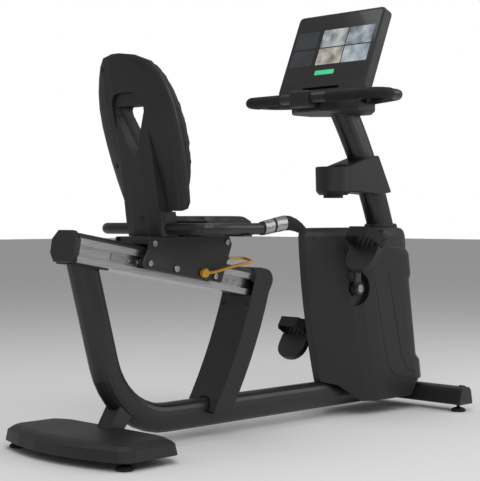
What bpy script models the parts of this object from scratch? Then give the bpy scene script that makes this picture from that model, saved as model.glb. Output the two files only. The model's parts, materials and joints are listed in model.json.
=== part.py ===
"""Recumbent exercise bike: frame, seat on its rail, covers, drive and console.

Metres, +Z up. The rider faces +X and the rider's left hand is +Y. The origin is
on the floor, at the middle of the bike's length and width.
"""
import bpy
import bmesh
from math import atan2, cos, hypot, pi, radians, sin, sqrt, tan
from mathutils import Matrix, Vector

# ---------------------------------------------------------------- dimensions

GAP = 0.0003                     # between faces that touch on the real bike
RUNNING_GAP = 0.001              # between a turning piece and its neighbour

FOOT_BASE = 1.462                # rear feet to front feet
REAR_FEET_X = -0.7174            # the feet's places put the origin mid-length
REAR_FOOT_Y = 0.239
FRONT_FOOT_Y = 0.258
FOOT_RADIUS = 0.025
FOOT_STEM_RADIUS = 0.006

BEAM_HEIGHT = 0.087
BEAM_WIDTH = 0.072
BEAM_BOTTOM = 0.0305
BEND_RADIUS = 0.235              # beam to rear post, on the centre line
POST_LEAN = radians(15.0)
POST_OFFSET = 0.170              # beam and post centre lines cross, from the rear feet

RAIL_SLOPE = radians(10.0)
RAIL_REAR_X = -0.010             # rail's lower rear edge, from the rear feet
RAIL_REAR_Z = 0.5395
RAIL_WIDTH = 0.100
RAIL_HEIGHT = 0.068
RAIL_COVER_HEIGHT = 0.016
CHANNEL_DEPTH = 0.014
CHANNEL_BOTTOM = 0.018
CHANNEL_HEIGHT = 0.032
RAIL_IN_COVER = 0.045            # length of rail held inside the front post cover
CAP_LENGTH = 0.016
CAP_LIP = 0.006

SEAT_POST_WIDTH = 0.133
SEAT_POST_DEPTH = 0.076
SEAT_POST_BOW = 1.500            # radius of the seat post's curve
SEAT_POST_TOE = 0.456            # post's lower rear corner to the crank, less the knee room
COVER_WALL = 0.003

CARRIAGE_START = 0.2350          # carriage's rear end from the rail's rear end
CARRIAGE_LENGTH = 0.310
CARRIAGE_TOP = 0.0254            # block's top over its seating on the rail cover's rear
PLATE_THICKNESS = 0.006
ROLLER_RADIUS = 0.0155
ROLLER_WIDTH = 0.0095

SEAT_TOP = 0.660
CUSHION_THICKNESS = 0.038
CUSHION_HALF_WIDTH = 0.190
CUSHION_LENGTH = 0.290
SEAT_PAN_THICKNESS = 0.013
SEAT_BAR_RADIUS = 0.017
SEAT_BAR_HALF_WIDTH = 0.240
SEAT_GRIP_LENGTH = 0.196
BACK_HEIGHT = 0.448
BACK_SHELL_THICKNESS = 0.010
BACK_HALF_WIDTH = 0.1645
BACK_WIDEST = 0.55               # share of the height where the back is widest
BACK_CROWN = 0.044               # height of the rounded top
BACK_LEAN = 0.132                # how far the back's side edge leans over its height
LUMBAR_HEIGHT = 0.140            # pad's fullest part over the seat top

CRANK_X = 1.105                  # crank axle from the rear feet
CRANK_Z = 0.427
CRANK_LENGTH = 0.165
CRANK_ANGLE = radians(17.0)      # right arm, back from upright
AXLE_RADIUS = 0.010
ARM_Y = 0.1245                   # mid-plane of each crank arm
ARM_THICKNESS = 0.013
PEDAL_Y = 0.1945                 # middle of each pedal
PEDAL_WIDTH = 0.120
PEDAL_HEEL = 0.112               # pedal's reach behind and ahead of its axle
PEDAL_TOE = 0.040
PEDAL_THICKNESS = 0.022
STRAP_HEIGHT = 0.056
STRAP_WIDTH = 0.036
STRAP_AHEAD = -0.002              # strap's middle from the pedal's axle
PEDAL_TILT = radians(58.0)

SHROUD_HALF_WIDTH = 0.114
SHROUD_NOSE_HALF = 0.014
SHROUD_WALL = 0.003
SHROUD_NOSE_X = 1.027            # shroud's rear edge at the beam, from the rear feet
SHROUD_NOSE_LEAN = 0.080         # how far the rear edge leans back at the top
SHROUD_FRONT_X = 1.484
SHROUD_FRONT_LEAN = 0.078
SHROUD_CORNER = 0.092
SHROUD_BASE = 0.048
SHROUD_TOP = 0.627
SHROUD_SPLIT = 0.564             # height of the joint between side shells and top cover
DISH_RADIUS = 0.058
DISH_DEPTH = 0.022               # crank dish's floor below the shroud's side
DISH_FLOOR = SHROUD_HALF_WIDTH - DISH_DEPTH

PULLEY_RADIUS = 0.094
PULLEY_Y = 0.023
PULLEY_WIDTH = 0.012
HUB_PULLEY_RADIUS = 0.0155
BELT_THICKNESS = 0.002
FLYWHEEL_X = 1.290               # flywheel axle from the rear feet
FLYWHEEL_Z = 0.285
FLYWHEEL_RADIUS = 0.098
FLYWHEEL_Y = -0.046
FLYWHEEL_WIDTH = 0.026
BRACKET_PLATE = 0.012
CRANK_BEARING_RADIUS = 0.021

MAST_WIDTH = 0.064
MAST_DEPTH = 0.106
MAST_BOW = 1.750                 # radius of the mast's curve
MAST_FOOT = (1.3660, 0.6125)     # mast centre line's ends, X from the rear feet
MAST_HEAD = (1.1680, 1.0080)

CUP_RADIUS = 0.047
CUP_WALL = 0.013
CUP_X = 1.107                    # cup's axis from the rear feet
CUP_DEPTH = 0.080
HOLDER_SLOPE = radians(12.5)

DISPLAY_WIDTH = 0.376
DISPLAY_HEIGHT = 0.304
DISPLAY_DEPTH = 0.042
DISPLAY_LEAN = radians(22.8)
DISPLAY_FOOT_X = 1.033           # display's lower front edge from the rear feet
DISPLAY_FOOT_Z = 1.073
CONSOLE_BAR_RADIUS = 0.0165
CONSOLE_BAR_Z = 1.050
CONSOLE_BAR_HALF_WIDTH = 0.300

# ------------------------------------------------------- places worked out

BEAM_Z = BEAM_BOTTOM + BEAM_HEIGHT / 2
FRONT_FEET_X = REAR_FEET_X + FOOT_BASE
FRONT_GROUP = FRONT_FEET_X - 1.462        # shifts the drive and console with the front feet
crank_x = FRONT_GROUP + CRANK_X
mast_x = FRONT_GROUP
rail_along = Vector((cos(RAIL_SLOPE), 0, -sin(RAIL_SLOPE)))
rail_up = Vector((sin(RAIL_SLOPE), 0, cos(RAIL_SLOPE)))
rail_rear = Vector((REAR_FEET_X + RAIL_REAR_X, 0, RAIL_REAR_Z))


def on_rail(along, up, y=0.0):
    """A point given by its distance along the rail and up from the rail's underside."""
    return rail_rear + along * rail_along + up * rail_up + Vector((0, y, 0))


# ------------------------------------------------------------- materials

FINISHES = {
    "black_plastic": ((0.028, 0.028, 0.028), 0.48, 0.0),
    "black_paint": ((0.022, 0.022, 0.022), 0.38, 0.0),
    "black_rubber": ((0.015, 0.015, 0.015), 0.75, 0.0),
    "black_vinyl": ((0.020, 0.020, 0.020), 0.60, 0.0),
    "aluminium": ((0.62, 0.62, 0.63), 0.34, 1.0),
    "steel": ((0.45, 0.45, 0.46), 0.35, 1.0),
    "cast_iron": ((0.10, 0.10, 0.11), 0.55, 1.0),
    "orange_plastic": ((0.67, 0.30, 0.013), 0.40, 0.0),
    "screen_glass": ((0.012, 0.013, 0.014), 0.10, 0.0),
}
materials = {}


def material(name):
    if name not in materials:
        colour, roughness, metallic = FINISHES[name]
        finish = bpy.data.materials.new(name)
        finish.use_nodes = True
        shader = finish.node_tree.nodes["Principled BSDF"]
        shader.inputs["Base Color"].default_value = (*colour, 1)
        shader.inputs["Roughness"].default_value = roughness
        shader.inputs["Metallic"].default_value = metallic
        finish.diffuse_color = (*colour, 1)
        materials[name] = finish
    return materials[name]


# ------------------------------------------------------------ mesh makers

def place(name, mesh, finish, at=(0, 0, 0), smooth=30.0):
    """Put a mesh, whose points are relative to `at`, into the scene."""
    mesh.shade_smooth()
    mesh.set_sharp_from_angle(angle=radians(smooth))
    mesh.materials.append(material(finish))
    obj = bpy.data.objects.new(name, mesh)
    obj.location = at
    bpy.context.scene.collection.objects.link(obj)
    return obj


def solid(name, rings, finish, at=(0, 0, 0), closed=False):
    """Skin rings of points that all have the same count; the ends are filled."""
    offset = Vector(at)
    bm = bmesh.new()
    loops = [[bm.verts.new(Vector(p) - offset) for p in ring] for ring in rings]
    count = len(loops[0])
    pairs = list(zip(loops, loops[1:]))
    if closed:
        pairs.append((loops[-1], loops[0]))
    for lower, upper in pairs:
        for i in range(count):
            j = (i + 1) % count
            bm.faces.new((lower[i], lower[j], upper[j], upper[i]))
    if not closed:
        bm.faces.new(list(reversed(loops[0])))
        bm.faces.new(loops[-1])
    bmesh.ops.recalc_face_normals(bm, faces=bm.faces)
    mesh = bpy.data.meshes.new(name)
    bm.to_mesh(mesh)
    bm.free()
    return place(name, mesh, finish, at)


def on_plane(axis, a, b, depth):
    """A point from two plane coordinates: (X,Z) for 'Y', (Y,Z) for 'X', (X,Y) for 'Z'."""
    return {"X": (depth, a, b), "Y": (a, depth, b), "Z": (a, b, depth)}[axis]


def prism(name, outline, axis, low, high, finish, at=(0, 0, 0), edge=0.0, steps=2):
    """Extrude a flat outline along an axis, with its edges rounded by `edge`."""
    rings = [[on_plane(axis, a, b, depth) for a, b in outline] for depth in (low, high)]
    obj = solid(name, rings, finish, at)
    if edge:
        soften(obj, edge, steps)
    return obj


def block(name, low, high, finish, at=(0, 0, 0), edge=0.0, steps=1):
    outline = [(low[0], low[1]), (high[0], low[1]), (high[0], high[1]), (low[0], high[1])]
    return prism(name, outline, "Z", low[2], high[2], finish, at, edge, steps)


def turned(name, profile, centre, axis, finish, at=None, sides=32):
    """Turn (radius, distance along the axis) points about an axis through `centre`."""
    centre = Vector(centre)
    along = Vector({"X": (1, 0, 0), "Y": (0, 1, 0), "Z": (0, 0, 1)}[axis]) if isinstance(axis, str) else axis
    across = along.orthogonal().normalized()
    third = along.cross(across)
    rings = []
    for radius, distance in profile:
        ring = []
        for i in range(sides):
            turn = 2 * pi * i / sides
            ring.append(centre + along * distance + radius * (cos(turn) * across + sin(turn) * third))
        rings.append(ring)
    return solid(name, rings, finish, centre if at is None else at)


def rod(name, radius, start, end, finish, at=None, sides=20):
    start = Vector(start)
    run = Vector(end) - start
    return turned(name, [(radius, 0), (radius, run.length)], start, run.normalized(), finish,
                  start if at is None else at, sides)


def sweep(name, path, section, side, finish, at=(0, 0, 0)):
    """Skin a section along a path. `side` is the section's first direction."""
    path = [Vector(p) for p in path]
    rings = []
    for i, point in enumerate(path):
        ahead = path[min(i + 1, len(path) - 1)] - point
        behind = point - path[max(i - 1, 0)]
        run = (ahead.normalized() + behind.normalized()).normalized()
        first = (Vector(side) - Vector(side).dot(run) * run).normalized()
        second = run.cross(first)
        stretch = 1.0
        if ahead.length and behind.length:
            stretch = 1 / max(0.5, ahead.normalized().dot(run))
        rings.append([point + a * first + b * stretch * second for a, b in section])
    return solid(name, rings, finish, at)


def rounded_path(points, radii, step=radians(15.0)):
    """Replace the inner corners of a polyline by arcs."""
    points = [Vector(p) for p in points]
    path = [points[0]]
    for before, corner, after, radius in zip(points, points[1:], points[2:], radii):
        inward = (before - corner).normalized()
        outward = (after - corner).normalized()
        turn = pi - inward.angle(outward)
        if radius <= 0 or turn < 1e-4:
            path.append(corner)
            continue
        tangent = radius * tan(turn / 2)
        centre = corner + (inward + outward).normalized() * radius / cos(turn / 2)
        start = corner + inward * tangent - centre
        normal = start.cross(corner + outward * tangent - centre).normalized()
        count = max(2, round(turn / step))
        for i in range(count + 1):
            path.append(centre + Matrix.Rotation(turn * i / count, 3, normal) @ start)
    path.append(points[-1])
    return path


def rounded_outline(corners, radii, step=radians(22.5)):
    """Round a closed flat outline's corners; one radius for all, or one each."""
    if isinstance(radii, (int, float)):
        radii = [radii] * len(corners)
    flat = [Vector((a, b, 0)) for a, b in corners]
    outline = []
    for i, radius in enumerate(radii):
        trio = [flat[i - 1], flat[i], flat[(i + 1) % len(flat)]]
        for point in rounded_path(trio, [radius], step)[1:-1]:
            outline.append((point.x, point.y))
    return outline


def oval(width, height, power=2.3, count=20):
    """A rounded section: an ellipse at power 2, squarer above it."""
    section = []
    for i in range(count):
        turn = 2 * pi * (i + 0.5) / count
        c, s = cos(turn), sin(turn)
        a = width / 2 * abs(c) ** (2 / power) * (1 if c > 0 else -1)
        b = height / 2 * abs(s) ** (2 / power) * (1 if s > 0 else -1)
        section.append((a, b))
    return section


def round_section(radius, count=16):
    return oval(2 * radius, 2 * radius, 2.0, count)


def arc_between(start, end, radius, count):
    """Points on an arc from start to end in a flat plane, bulging to the right of the run."""
    start, end = Vector((*start, 0)), Vector((*end, 0))
    chord = end - start
    middle = (start + end) / 2
    right = Vector((chord.y, -chord.x, 0)).normalized()
    centre = middle - right * sqrt(radius ** 2 - chord.length_squared / 4)
    turn = 2 * atan2(chord.length / 2, sqrt(radius ** 2 - chord.length_squared / 4))
    points = []
    for i in range(count + 1):
        p = centre + Matrix.Rotation(turn * i / count, 3, "Z") @ (start - centre)
        points.append((p.x, p.y))
    return points


def soften(obj, width, steps=2):
    bevel = obj.modifiers.new("rounded edges", "BEVEL")
    bevel.width = width
    bevel.segments = steps
    bevel.limit_method = "ANGLE"
    bevel.angle_limit = radians(50)


def as_cutter(obj):
    obj.hide_render = True
    obj.display_type = "WIRE"
    return obj


def shape_by(obj, other, operation):
    step = obj.modifiers.new(operation.lower(), "BOOLEAN")
    step.operation = operation
    step.object = as_cutter(other)
    return obj


def carve(obj, *cutters):
    for cutter in cutters:
        shape_by(obj, cutter, "DIFFERENCE")
    return obj


def weld(obj, *pieces):
    for piece in pieces:
        shape_by(obj, piece, "UNION")
    return obj


# ------------------------------------------------------------- main frame

def frame_path():
    corner = Vector((REAR_FEET_X + POST_OFFSET, 0, BEAM_Z))
    front = Vector((FRONT_FEET_X - 0.0255, 0, BEAM_Z))
    lean = Vector((-sin(POST_LEAN), 0, cos(POST_LEAN)))
    top = corner + lean * ((RAIL_REAR_Z - BEAM_Z) / cos(POST_LEAN) + 0.010)
    return rounded_path([front, corner, top], [BEND_RADIUS], radians(8.0))


def frame_tube(name, clearance=0.0, finish="black_paint"):
    section = oval(BEAM_WIDTH + 2 * clearance, BEAM_HEIGHT + 2 * clearance)
    return sweep(name, frame_path(), section, (0, 1, 0), finish)


def under_rail(name, drop, length=1.2):
    """A block that fills all the room above a line `drop` under the rail."""
    low, high = on_rail(-0.3, -drop), on_rail(length, -drop)
    outline = [(low.x, low.z), (high.x, high.z), (high.x, high.z + 0.6), (low.x, low.z + 0.6)]
    return prism(name, outline, "Y", -0.2, 0.2, "steel")


RAIL_BRACKET = 0.005

def main_frame():
    """Bent tube from the front stabilizer to the rail, with the rail's rear seat."""
    tube = frame_tube("main_frame")
    carve(tube, under_rail("post_top_cut", GAP))
    corners = [(0.001, -RAIL_BRACKET - GAP), (0.118, -RAIL_BRACKET - GAP), (0.118, -GAP), (0.001, -GAP)]
    outline = [(p.x, p.z) for p in (on_rail(a, b) for a, b in corners)]
    return weld(tube, prism("rail_bracket", outline, "Y", -0.043, 0.043, "black_paint"))


# ---------------------------------------------------- rear foot of the bike

STABILIZER_TOP = 0.057
STABILIZER_BOTTOM = 0.026

def foot_hole(name, x, y, top):
    return rod(name, FOOT_STEM_RADIUS + GAP, (x, y, 0.0), (x, y, top), "steel", sides=12)


def rear_stabilizer():
    x = REAR_FEET_X
    tube = block("rear_stabilizer", (x - 0.012, -0.2465, STABILIZER_BOTTOM),
                 (x + 0.052, 0.2465, STABILIZER_TOP), "black_paint", edge=0.004)
    saddle = block("stabilizer_saddle", (x + 0.040, -0.050, STABILIZER_BOTTOM + 0.007),
                   (x + 0.168, 0.050, STABILIZER_TOP - 0.002), "black_paint")
    neck = prism("stabilizer_neck", [(x + 0.104, 0.040), (x + 0.152, 0.040), (x + 0.213, 0.110), (x + 0.157, 0.128)],
                 "Y", -0.030, 0.030, "black_paint")
    weld(tube, saddle, neck)
    carve(tube, frame_tube("neck_seat_cut", GAP))
    for side in (-1, 1):
        carve(tube, foot_hole(f"rear_foot_hole_{side}", x, side * REAR_FOOT_Y, STABILIZER_TOP - 0.008))
    return tube


COVER_REAR = 0.081
COVER_FRONT = 0.188
COVER_HALF_WIDTH = 0.278
COVER_BOTTOM = 0.024
COVER_HEIGHT = 0.046
COVER_SKIN = 0.003

def cover_ring(inset, z):
    """Plan outline of the rear cover: bowed at the rear, straight at the front."""
    half, bow = COVER_HALF_WIDTH, 0.046
    rear = [(-COVER_REAR + bow * t * t, half * t * 0.90) for t in (1, 0.6, 0.2, -0.2, -0.6, -1)]
    corners = rear + [(-0.010, -half), (COVER_FRONT - 0.030, -half + 0.004), (COVER_FRONT, -half + 0.060),
                      (COVER_FRONT, half - 0.060), (COVER_FRONT - 0.030, half - 0.004), (-0.010, half)]
    radii = [0.010, 0.0, 0.0, 0.0, 0.0, 0.010, 0.030, 0.020, 0.030, 0.030, 0.020, 0.030]
    middle, reach = (COVER_FRONT - COVER_REAR) / 2, (COVER_FRONT + COVER_REAR) / 2
    ring = []
    for a, b in rounded_outline(corners, radii, radians(30.0)):
        ring.append((REAR_FEET_X + middle + (a - middle) * (1 - inset / reach), b * (1 - inset / half), z))
    return ring


def cover_solid(name, shrink, drop):
    base, top = COVER_BOTTOM, COVER_BOTTOM + COVER_HEIGHT
    levels = [(0.0, base - 0.030 if drop else base), (0.0, base + 0.002), (0.005, base + 0.030),
              (0.020, top - 0.006), (0.034, top - 0.001), (0.050, top)]
    rings = [cover_ring(inset + shrink, z - (drop if i else 0)) for i, (inset, z) in enumerate(levels)]
    return solid(name, rings, "black_plastic")


def rear_stabilizer_cover():
    cover = cover_solid("rear_stabilizer_cover", 0.0, 0.0)
    inside = cover_solid("rear_cover_inside", COVER_SKIN, COVER_SKIN)
    x = REAR_FEET_X
    neck = prism("neck_slot", [(x + 0.100, 0.036), (x + 0.156, 0.036), (x + 0.221, 0.110), (x + 0.152, 0.130)],
                 "Y", -0.031, 0.031, "steel")
    return carve(cover, inside, neck)


def levelling_foot(name, x, y, stem_top):
    profile = [(0.0225, 0.0), (FOOT_RADIUS, 0.002), (FOOT_RADIUS, 0.007), (0.019, 0.0115),
               (0.011, 0.0140), (FOOT_STEM_RADIUS, 0.0150), (FOOT_STEM_RADIUS, stem_top)]
    return turned(name, profile, (x, y, 0), "Z", "black_rubber", sides=24)


# --------------------------------------------------- front foot of the bike

FRONT_BAR_REAR = -0.0245         # from the front feet
FRONT_BAR_FRONT = 0.0525
FRONT_BAR_BOTTOM = 0.0238
FRONT_BAR_TOP = 0.083
FRONT_BAR_HALF = 0.2655

def front_bar_outline(clearance=0.0):
    low, high = FRONT_FEET_X + FRONT_BAR_REAR - clearance, FRONT_FEET_X + FRONT_BAR_FRONT + clearance
    bottom, top = FRONT_BAR_BOTTOM - clearance, FRONT_BAR_TOP + clearance
    corners = [(low, bottom), (high, bottom), (high - 0.012, top), (low + 0.014, top)]
    return rounded_outline(corners, [0.004, 0.004, 0.022, 0.022], radians(20.0))


def front_stabilizer():
    bar = prism("front_stabilizer", front_bar_outline(), "Y", -FRONT_BAR_HALF, FRONT_BAR_HALF, "black_paint")
    for side in (-1, 1):
        carve(bar, foot_hole(f"front_foot_hole_{side}", FRONT_FEET_X, side * FRONT_FOOT_Y, 0.056))
        carve(bar, wheel_room(side))
    return bar


WHEEL_RADIUS = 0.026
WHEEL_WIDTH = 0.020
WHEEL_Y = 0.2535
WHEEL_OFFSET = 0.0260
WHEEL_Z = 0.0600

def wheel_room(side):
    """Pocket at the front bar's end, in which the transport wheel turns."""
    x = FRONT_FEET_X + WHEEL_OFFSET
    inner, outer = side * (WHEEL_Y - WHEEL_WIDTH / 2 - RUNNING_GAP), side * (FRONT_BAR_HALF + 0.01)
    return rod(f"wheel_room_{side}", WHEEL_RADIUS + RUNNING_GAP, (x, inner, WHEEL_Z), (x, outer, WHEEL_Z),
               "steel", sides=24)


def front_end_cap(side, name):
    """Moulded cap on the front bar's end, with an arched guard over the wheel."""
    outline = front_bar_outline(0.0)
    near, far = side * (FRONT_BAR_HALF + GAP), side * (FRONT_BAR_HALF + 0.0145)
    cap = prism(name, outline, "Y", min(near, far), max(near, far), "black_plastic")
    x = FRONT_FEET_X + WHEEL_OFFSET
    wheel_end = side * (WHEEL_Y + WHEEL_WIDTH / 2 + RUNNING_GAP)
    room = rod(f"{name}_room", WHEEL_RADIUS + RUNNING_GAP, (x, near - side * 0.01, WHEEL_Z),
               (x, wheel_end, WHEEL_Z), "steel", sides=24)
    return carve(cap, room)


def transport_wheel(side, name):
    x = FRONT_FEET_X + WHEEL_OFFSET
    half = WHEEL_WIDTH / 2
    profile = [(0.010, -half), (WHEEL_RADIUS - 0.003, -half), (WHEEL_RADIUS, -half + 0.003),
               (WHEEL_RADIUS, half - 0.003), (WHEEL_RADIUS - 0.003, half), (0.010, half)]
    return turned(name, profile, (x, side * WHEEL_Y, WHEEL_Z), "Y", "black_rubber", sides=24)


# -------------------------------------------------------- seat post and rail

post_toe = (crank_x - SEAT_POST_TOE - 0.1595, 0.077)     # lower rear corner, on the beam's side
POST_HEAD_FORWARD = 0.1787
POST_HEAD_OVER_RAIL = 0.065085
post_head_x = post_toe[0] + POST_HEAD_FORWARD
post_head = (post_head_x, rail_rear.z - (post_head_x - rail_rear.x) * tan(RAIL_SLOPE) + POST_HEAD_OVER_RAIL)


def rail_length():
    """The rail runs from its rear cap into the front post's cover."""
    head = post_head[0] + RAIL_IN_COVER
    return (head - rail_rear.x) / cos(RAIL_SLOPE)


def seat_rail():
    half, web = RAIL_WIDTH / 2, RAIL_WIDTH / 2 - CHANNEL_DEPTH
    low, high = CHANNEL_BOTTOM, CHANNEL_BOTTOM + CHANNEL_HEIGHT
    right = [(half, 0), (half, low), (web, low), (web, high), (half, high), (half, RAIL_HEIGHT)]
    section = right + [(-y, w) for y, w in reversed(right)]
    rings = [[on_rail(a, w, y) for y, w in section] for a in (0.0, rail_length())]
    return solid("seat_rail", rings, "aluminium")


def rail_top_cover():
    half = RAIL_WIDTH / 2
    base, top = RAIL_HEIGHT + GAP, RAIL_HEIGHT + RAIL_COVER_HEIGHT
    corners = [(half, base), (half, base + 0.005), (half - 0.020, top), (-half + 0.020, top),
               (-half, base + 0.005), (-half, base)]
    section = rounded_outline(corners, [0.0, 0.006, 0.030, 0.030, 0.006, 0.0])
    rings = [[on_rail(a, w, y) for y, w in section] for a in (0.0, rail_length())]
    return solid("rail_top_cover", rings, "black_plastic")


def rail_end_cap():
    """Eight-sided cap over the rail's rear end."""
    def ring(along, grow):
        half, base, top = RAIL_WIDTH / 2 + CAP_LIP + grow, -0.002 - grow, RAIL_HEIGHT + RAIL_COVER_HEIGHT + 0.003 + grow
        cut = 0.024
        corners = [(half, base + cut), (half, top - cut), (half - cut, top), (-half + cut, top),
                   (-half, top - cut), (-half, base + cut), (-half + cut * 0.8, base), (half - cut * 0.8, base)]
        return [on_rail(along, w, y) for y, w in corners]
    cap = solid("rail_end_cap", [ring(-CAP_LENGTH, -0.002), ring(-CAP_LENGTH + 0.002, 0.0), ring(-GAP, 0.0)],
                "black_plastic")
    return cap


def index_rack():
    """Holed steel strip in the right channel, which the lock pin enters."""
    web = RAIL_WIDTH / 2 - CHANNEL_DEPTH
    middle = CHANNEL_BOTTOM + CHANNEL_HEIGHT / 2
    start, end = 0.125, rail_length() - RAIL_IN_COVER - 0.050
    rings = [[on_rail(a, w, y) for y, w in ((-web - GAP, middle - 0.010), (-web - 0.003, middle - 0.010),
                                            (-web - 0.003, middle + 0.010), (-web - GAP, middle + 0.010))]
             for a in (start, end)]
    rack = solid("index_rack", rings, "steel")
    along = pin_along()
    while along - LOCK_PITCH > start + 0.010:
        along -= LOCK_PITCH
    holes = 0
    while along < end - 0.010 and holes < 24:
        spot = on_rail(along, middle)
        hole = rod(f"rack_hole_{holes}", LOCK_PIN_RADIUS + RUNNING_GAP, spot + Vector((0, -web - 0.02, 0)),
                   spot + Vector((0, -web + 0.01, 0)), "steel", sides=8)
        carve(rack, hole)
        along += LOCK_PITCH
        holes += 1
    return rack


LOCK_PITCH = 0.030
LOCK_PIN_RADIUS = 0.0045
LOCK_PIN_BACK = 0.206            # pin from the carriage's front end

def pin_along():
    return CARRIAGE_START + CARRIAGE_LENGTH - LOCK_PIN_BACK


def rear_edge():
    """Rear edge of the seat post in the XZ plane, from the toe to the head."""
    return arc_between(post_toe, post_head, SEAT_POST_BOW, 8)


def post_outline(rear_inset, front_inset, foot_z, head_z):
    """Side view of the post, between two heights, inset at its rear and front."""
    rear = [(x + rear_inset, z) for x, z in rear_edge()]
    front = [(x + SEAT_POST_DEPTH - front_inset, z) for x, z in rear_edge()]
    rear[0] = (rear[0][0], foot_z)
    front[0] = (front[0][0], foot_z)
    rear[-1] = (rear[-1][0] + (head_z - rear[-1][1]) * tan(RAIL_SLOPE), head_z)
    front[-1] = (front[-1][0] + (head_z - front[-1][1]) * tan(RAIL_SLOPE), head_z)
    return front + list(reversed(rear))


PANEL_THICKNESS = 0.003
COVER_TOP_OVER_RAIL = 0.006

def seat_post_cover():
    """Cover round the seat post's sides and front, which wraps over the rail's end."""
    half = SEAT_POST_WIDTH / 2
    rear = rear_edge()
    front = [(x + SEAT_POST_DEPTH, z) for x, z in rear_edge()]
    top_rear = on_rail((rear[-1][0] - rail_rear.x) / cos(RAIL_SLOPE) + 0.006,
                       RAIL_HEIGHT + RAIL_COVER_HEIGHT + COVER_TOP_OVER_RAIL)
    top_front = top_rear + rail_along * (SEAT_POST_DEPTH + 0.002)
    corners = front[:-1] + [(top_front.x, top_front.z), (top_rear.x, top_rear.z)] + list(reversed(rear))
    radii = [0.0] * (len(front) - 1) + [0.034, 0.003] + [0.0] * len(rear)
    cover = prism("seat_post_cover", rounded_outline(corners, radii), "Y", -half, half, "black_plastic")
    soften(cover, 0.012, 3)
    inner = half - COVER_WALL
    hollow = prism("post_cover_hollow", post_outline(-0.02, COVER_WALL + 0.009, 0.0, rear[-1][1] - 0.02),
                   "Y", -inner, inner, "steel")
    grown = RAIL_WIDTH / 2 + GAP
    end = rail_length() + GAP
    section = [(grown, -GAP), (grown, RAIL_HEIGHT + 0.006), (grown - 0.014, RAIL_HEIGHT + RAIL_COVER_HEIGHT + GAP),
               (-grown + 0.014, RAIL_HEIGHT + RAIL_COVER_HEIGHT + GAP), (-grown, RAIL_HEIGHT + 0.006), (-grown, -GAP)]
    socket = solid("rail_socket", [[on_rail(a, w, y) for y, w in section] for a in (end - 0.2, end)], "steel")
    beam = frame_tube("post_cover_beam_cut", 0.004)
    return carve(cover, hollow, socket, beam)


def seat_post():
    """Steel tube inside the cover, from the beam to the rail's underside."""
    wide = SEAT_POST_WIDTH / 2 - COVER_WALL - 0.006
    tube = prism("seat_post", post_outline(PANEL_THICKNESS + 0.002, COVER_WALL + 0.014, BEAM_Z, 0.60),
                 "Y", -wide, wide, "black_paint")
    return carve(tube, frame_tube("seat_post_beam_cut", GAP), under_rail("seat_post_rail_cut", GAP))


def seat_post_panel():
    """Screwed panel that closes the seat post's rear, cut round the beam."""
    half = SEAT_POST_WIDTH / 2 - COVER_WALL - GAP
    rear = [(x + GAP, z) for x, z in rear_edge()]
    back = [(x + PANEL_THICKNESS, z) for x, z in rear_edge()]
    rear[0], back[0] = (rear[0][0], 0.080), (back[0][0], 0.080)
    panel = prism("seat_post_panel", back + list(reversed(rear)), "Y", -half, half, "black_plastic")
    return carve(panel, frame_tube("panel_beam_cut", 0.004), under_rail("panel_rail_cut", 0.002))


# ------------------------------------------------------------------ carriage

def carriage_point(along, z_over=0.0):
    """A point on the rail cover's top, `along` from the carriage's rear end."""
    return on_rail(CARRIAGE_START + along, RAIL_HEIGHT + RAIL_COVER_HEIGHT + z_over)


carriage_rear = carriage_point(0.0)
deck_z = carriage_rear.z + CARRIAGE_TOP


def carriage_frame():
    """Cast block over the rail, which carries the seat."""
    start, end = carriage_point(0.0, 0.003), carriage_point(CARRIAGE_LENGTH - 0.030, 0.003)
    outline = [(start.x, start.z), (end.x, end.z), (end.x, deck_z), (start.x, deck_z)]
    half = RAIL_WIDTH / 2 + 0.0185
    frame = prism("carriage_frame", outline, "Y", -half, half, "black_paint", edge=0.0015, steps=1)
    return frame


PLATE_Y = RAIL_WIDTH / 2 + 0.0190

def plate_outline():
    rear, front = carriage_rear.x, carriage_rear.x + CARRIAGE_LENGTH
    rear_low, front_low = deck_z - 0.0875, deck_z - 0.0875 - (CARRIAGE_LENGTH - 0.0105) * tan(RAIL_SLOPE)
    corners = [(rear - 0.008, deck_z - GAP), (front - 0.002, deck_z - GAP), (front + 0.011, deck_z - 0.025),
               (front - 0.034, front_low), (rear - 0.023, rear_low), (rear - 0.0325, deck_z - 0.076),
               (rear - 0.012, deck_z - 0.037)]
    return rounded_outline(list(reversed(corners)), [0.012, 0.006, 0.006, 0.006, 0.012, 0.004, 0.006])


def carriage_plate(side, name):
    """Steel side plate with bores for the roller axles and, on the right, the lock pin."""
    near, far = side * PLATE_Y, side * (PLATE_Y + PLATE_THICKNESS)
    plate = prism(name, plate_outline(), "Y", min(near, far), max(near, far), "black_paint", edge=0.0008, steps=1)
    for i, spot in enumerate(roller_spots()):
        plate = carve(plate, rod(f"{name}_axle_bore_{i}", ROLLER_AXLE_RADIUS + GAP, spot + Vector((0, side * 0.06, 0)),
                                 spot + Vector((0, side * 0.09, 0)), "steel", sides=12))
    if side < 0:
        spot = on_rail(pin_along(), CHANNEL_BOTTOM + CHANNEL_HEIGHT / 2)
        plate = carve(plate, rod("lock_pin_bore", LOCK_PIN_BODY + GAP, spot + Vector((0, -0.06, 0)),
                                 spot + Vector((0, -0.09, 0)), "steel", sides=16))
        hub = lever_hub()
        plate = carve(plate, rod("lever_bore", LEVER_SHAFT_RADIUS + GAP, hub + Vector((0, -0.06, 0)),
                                 hub + Vector((0, -0.09, 0)), "steel", sides=12))
    return plate


ROLLER_AXLE_RADIUS = 0.004

def roller_spots():
    """Roller centres in the XZ plane, near the carriage's two ends."""
    middle = CHANNEL_BOTTOM + CHANNEL_HEIGHT / 2
    return [on_rail(CARRIAGE_START + 0.003, middle), on_rail(CARRIAGE_START + CARRIAGE_LENGTH - 0.048, middle)]


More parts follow.
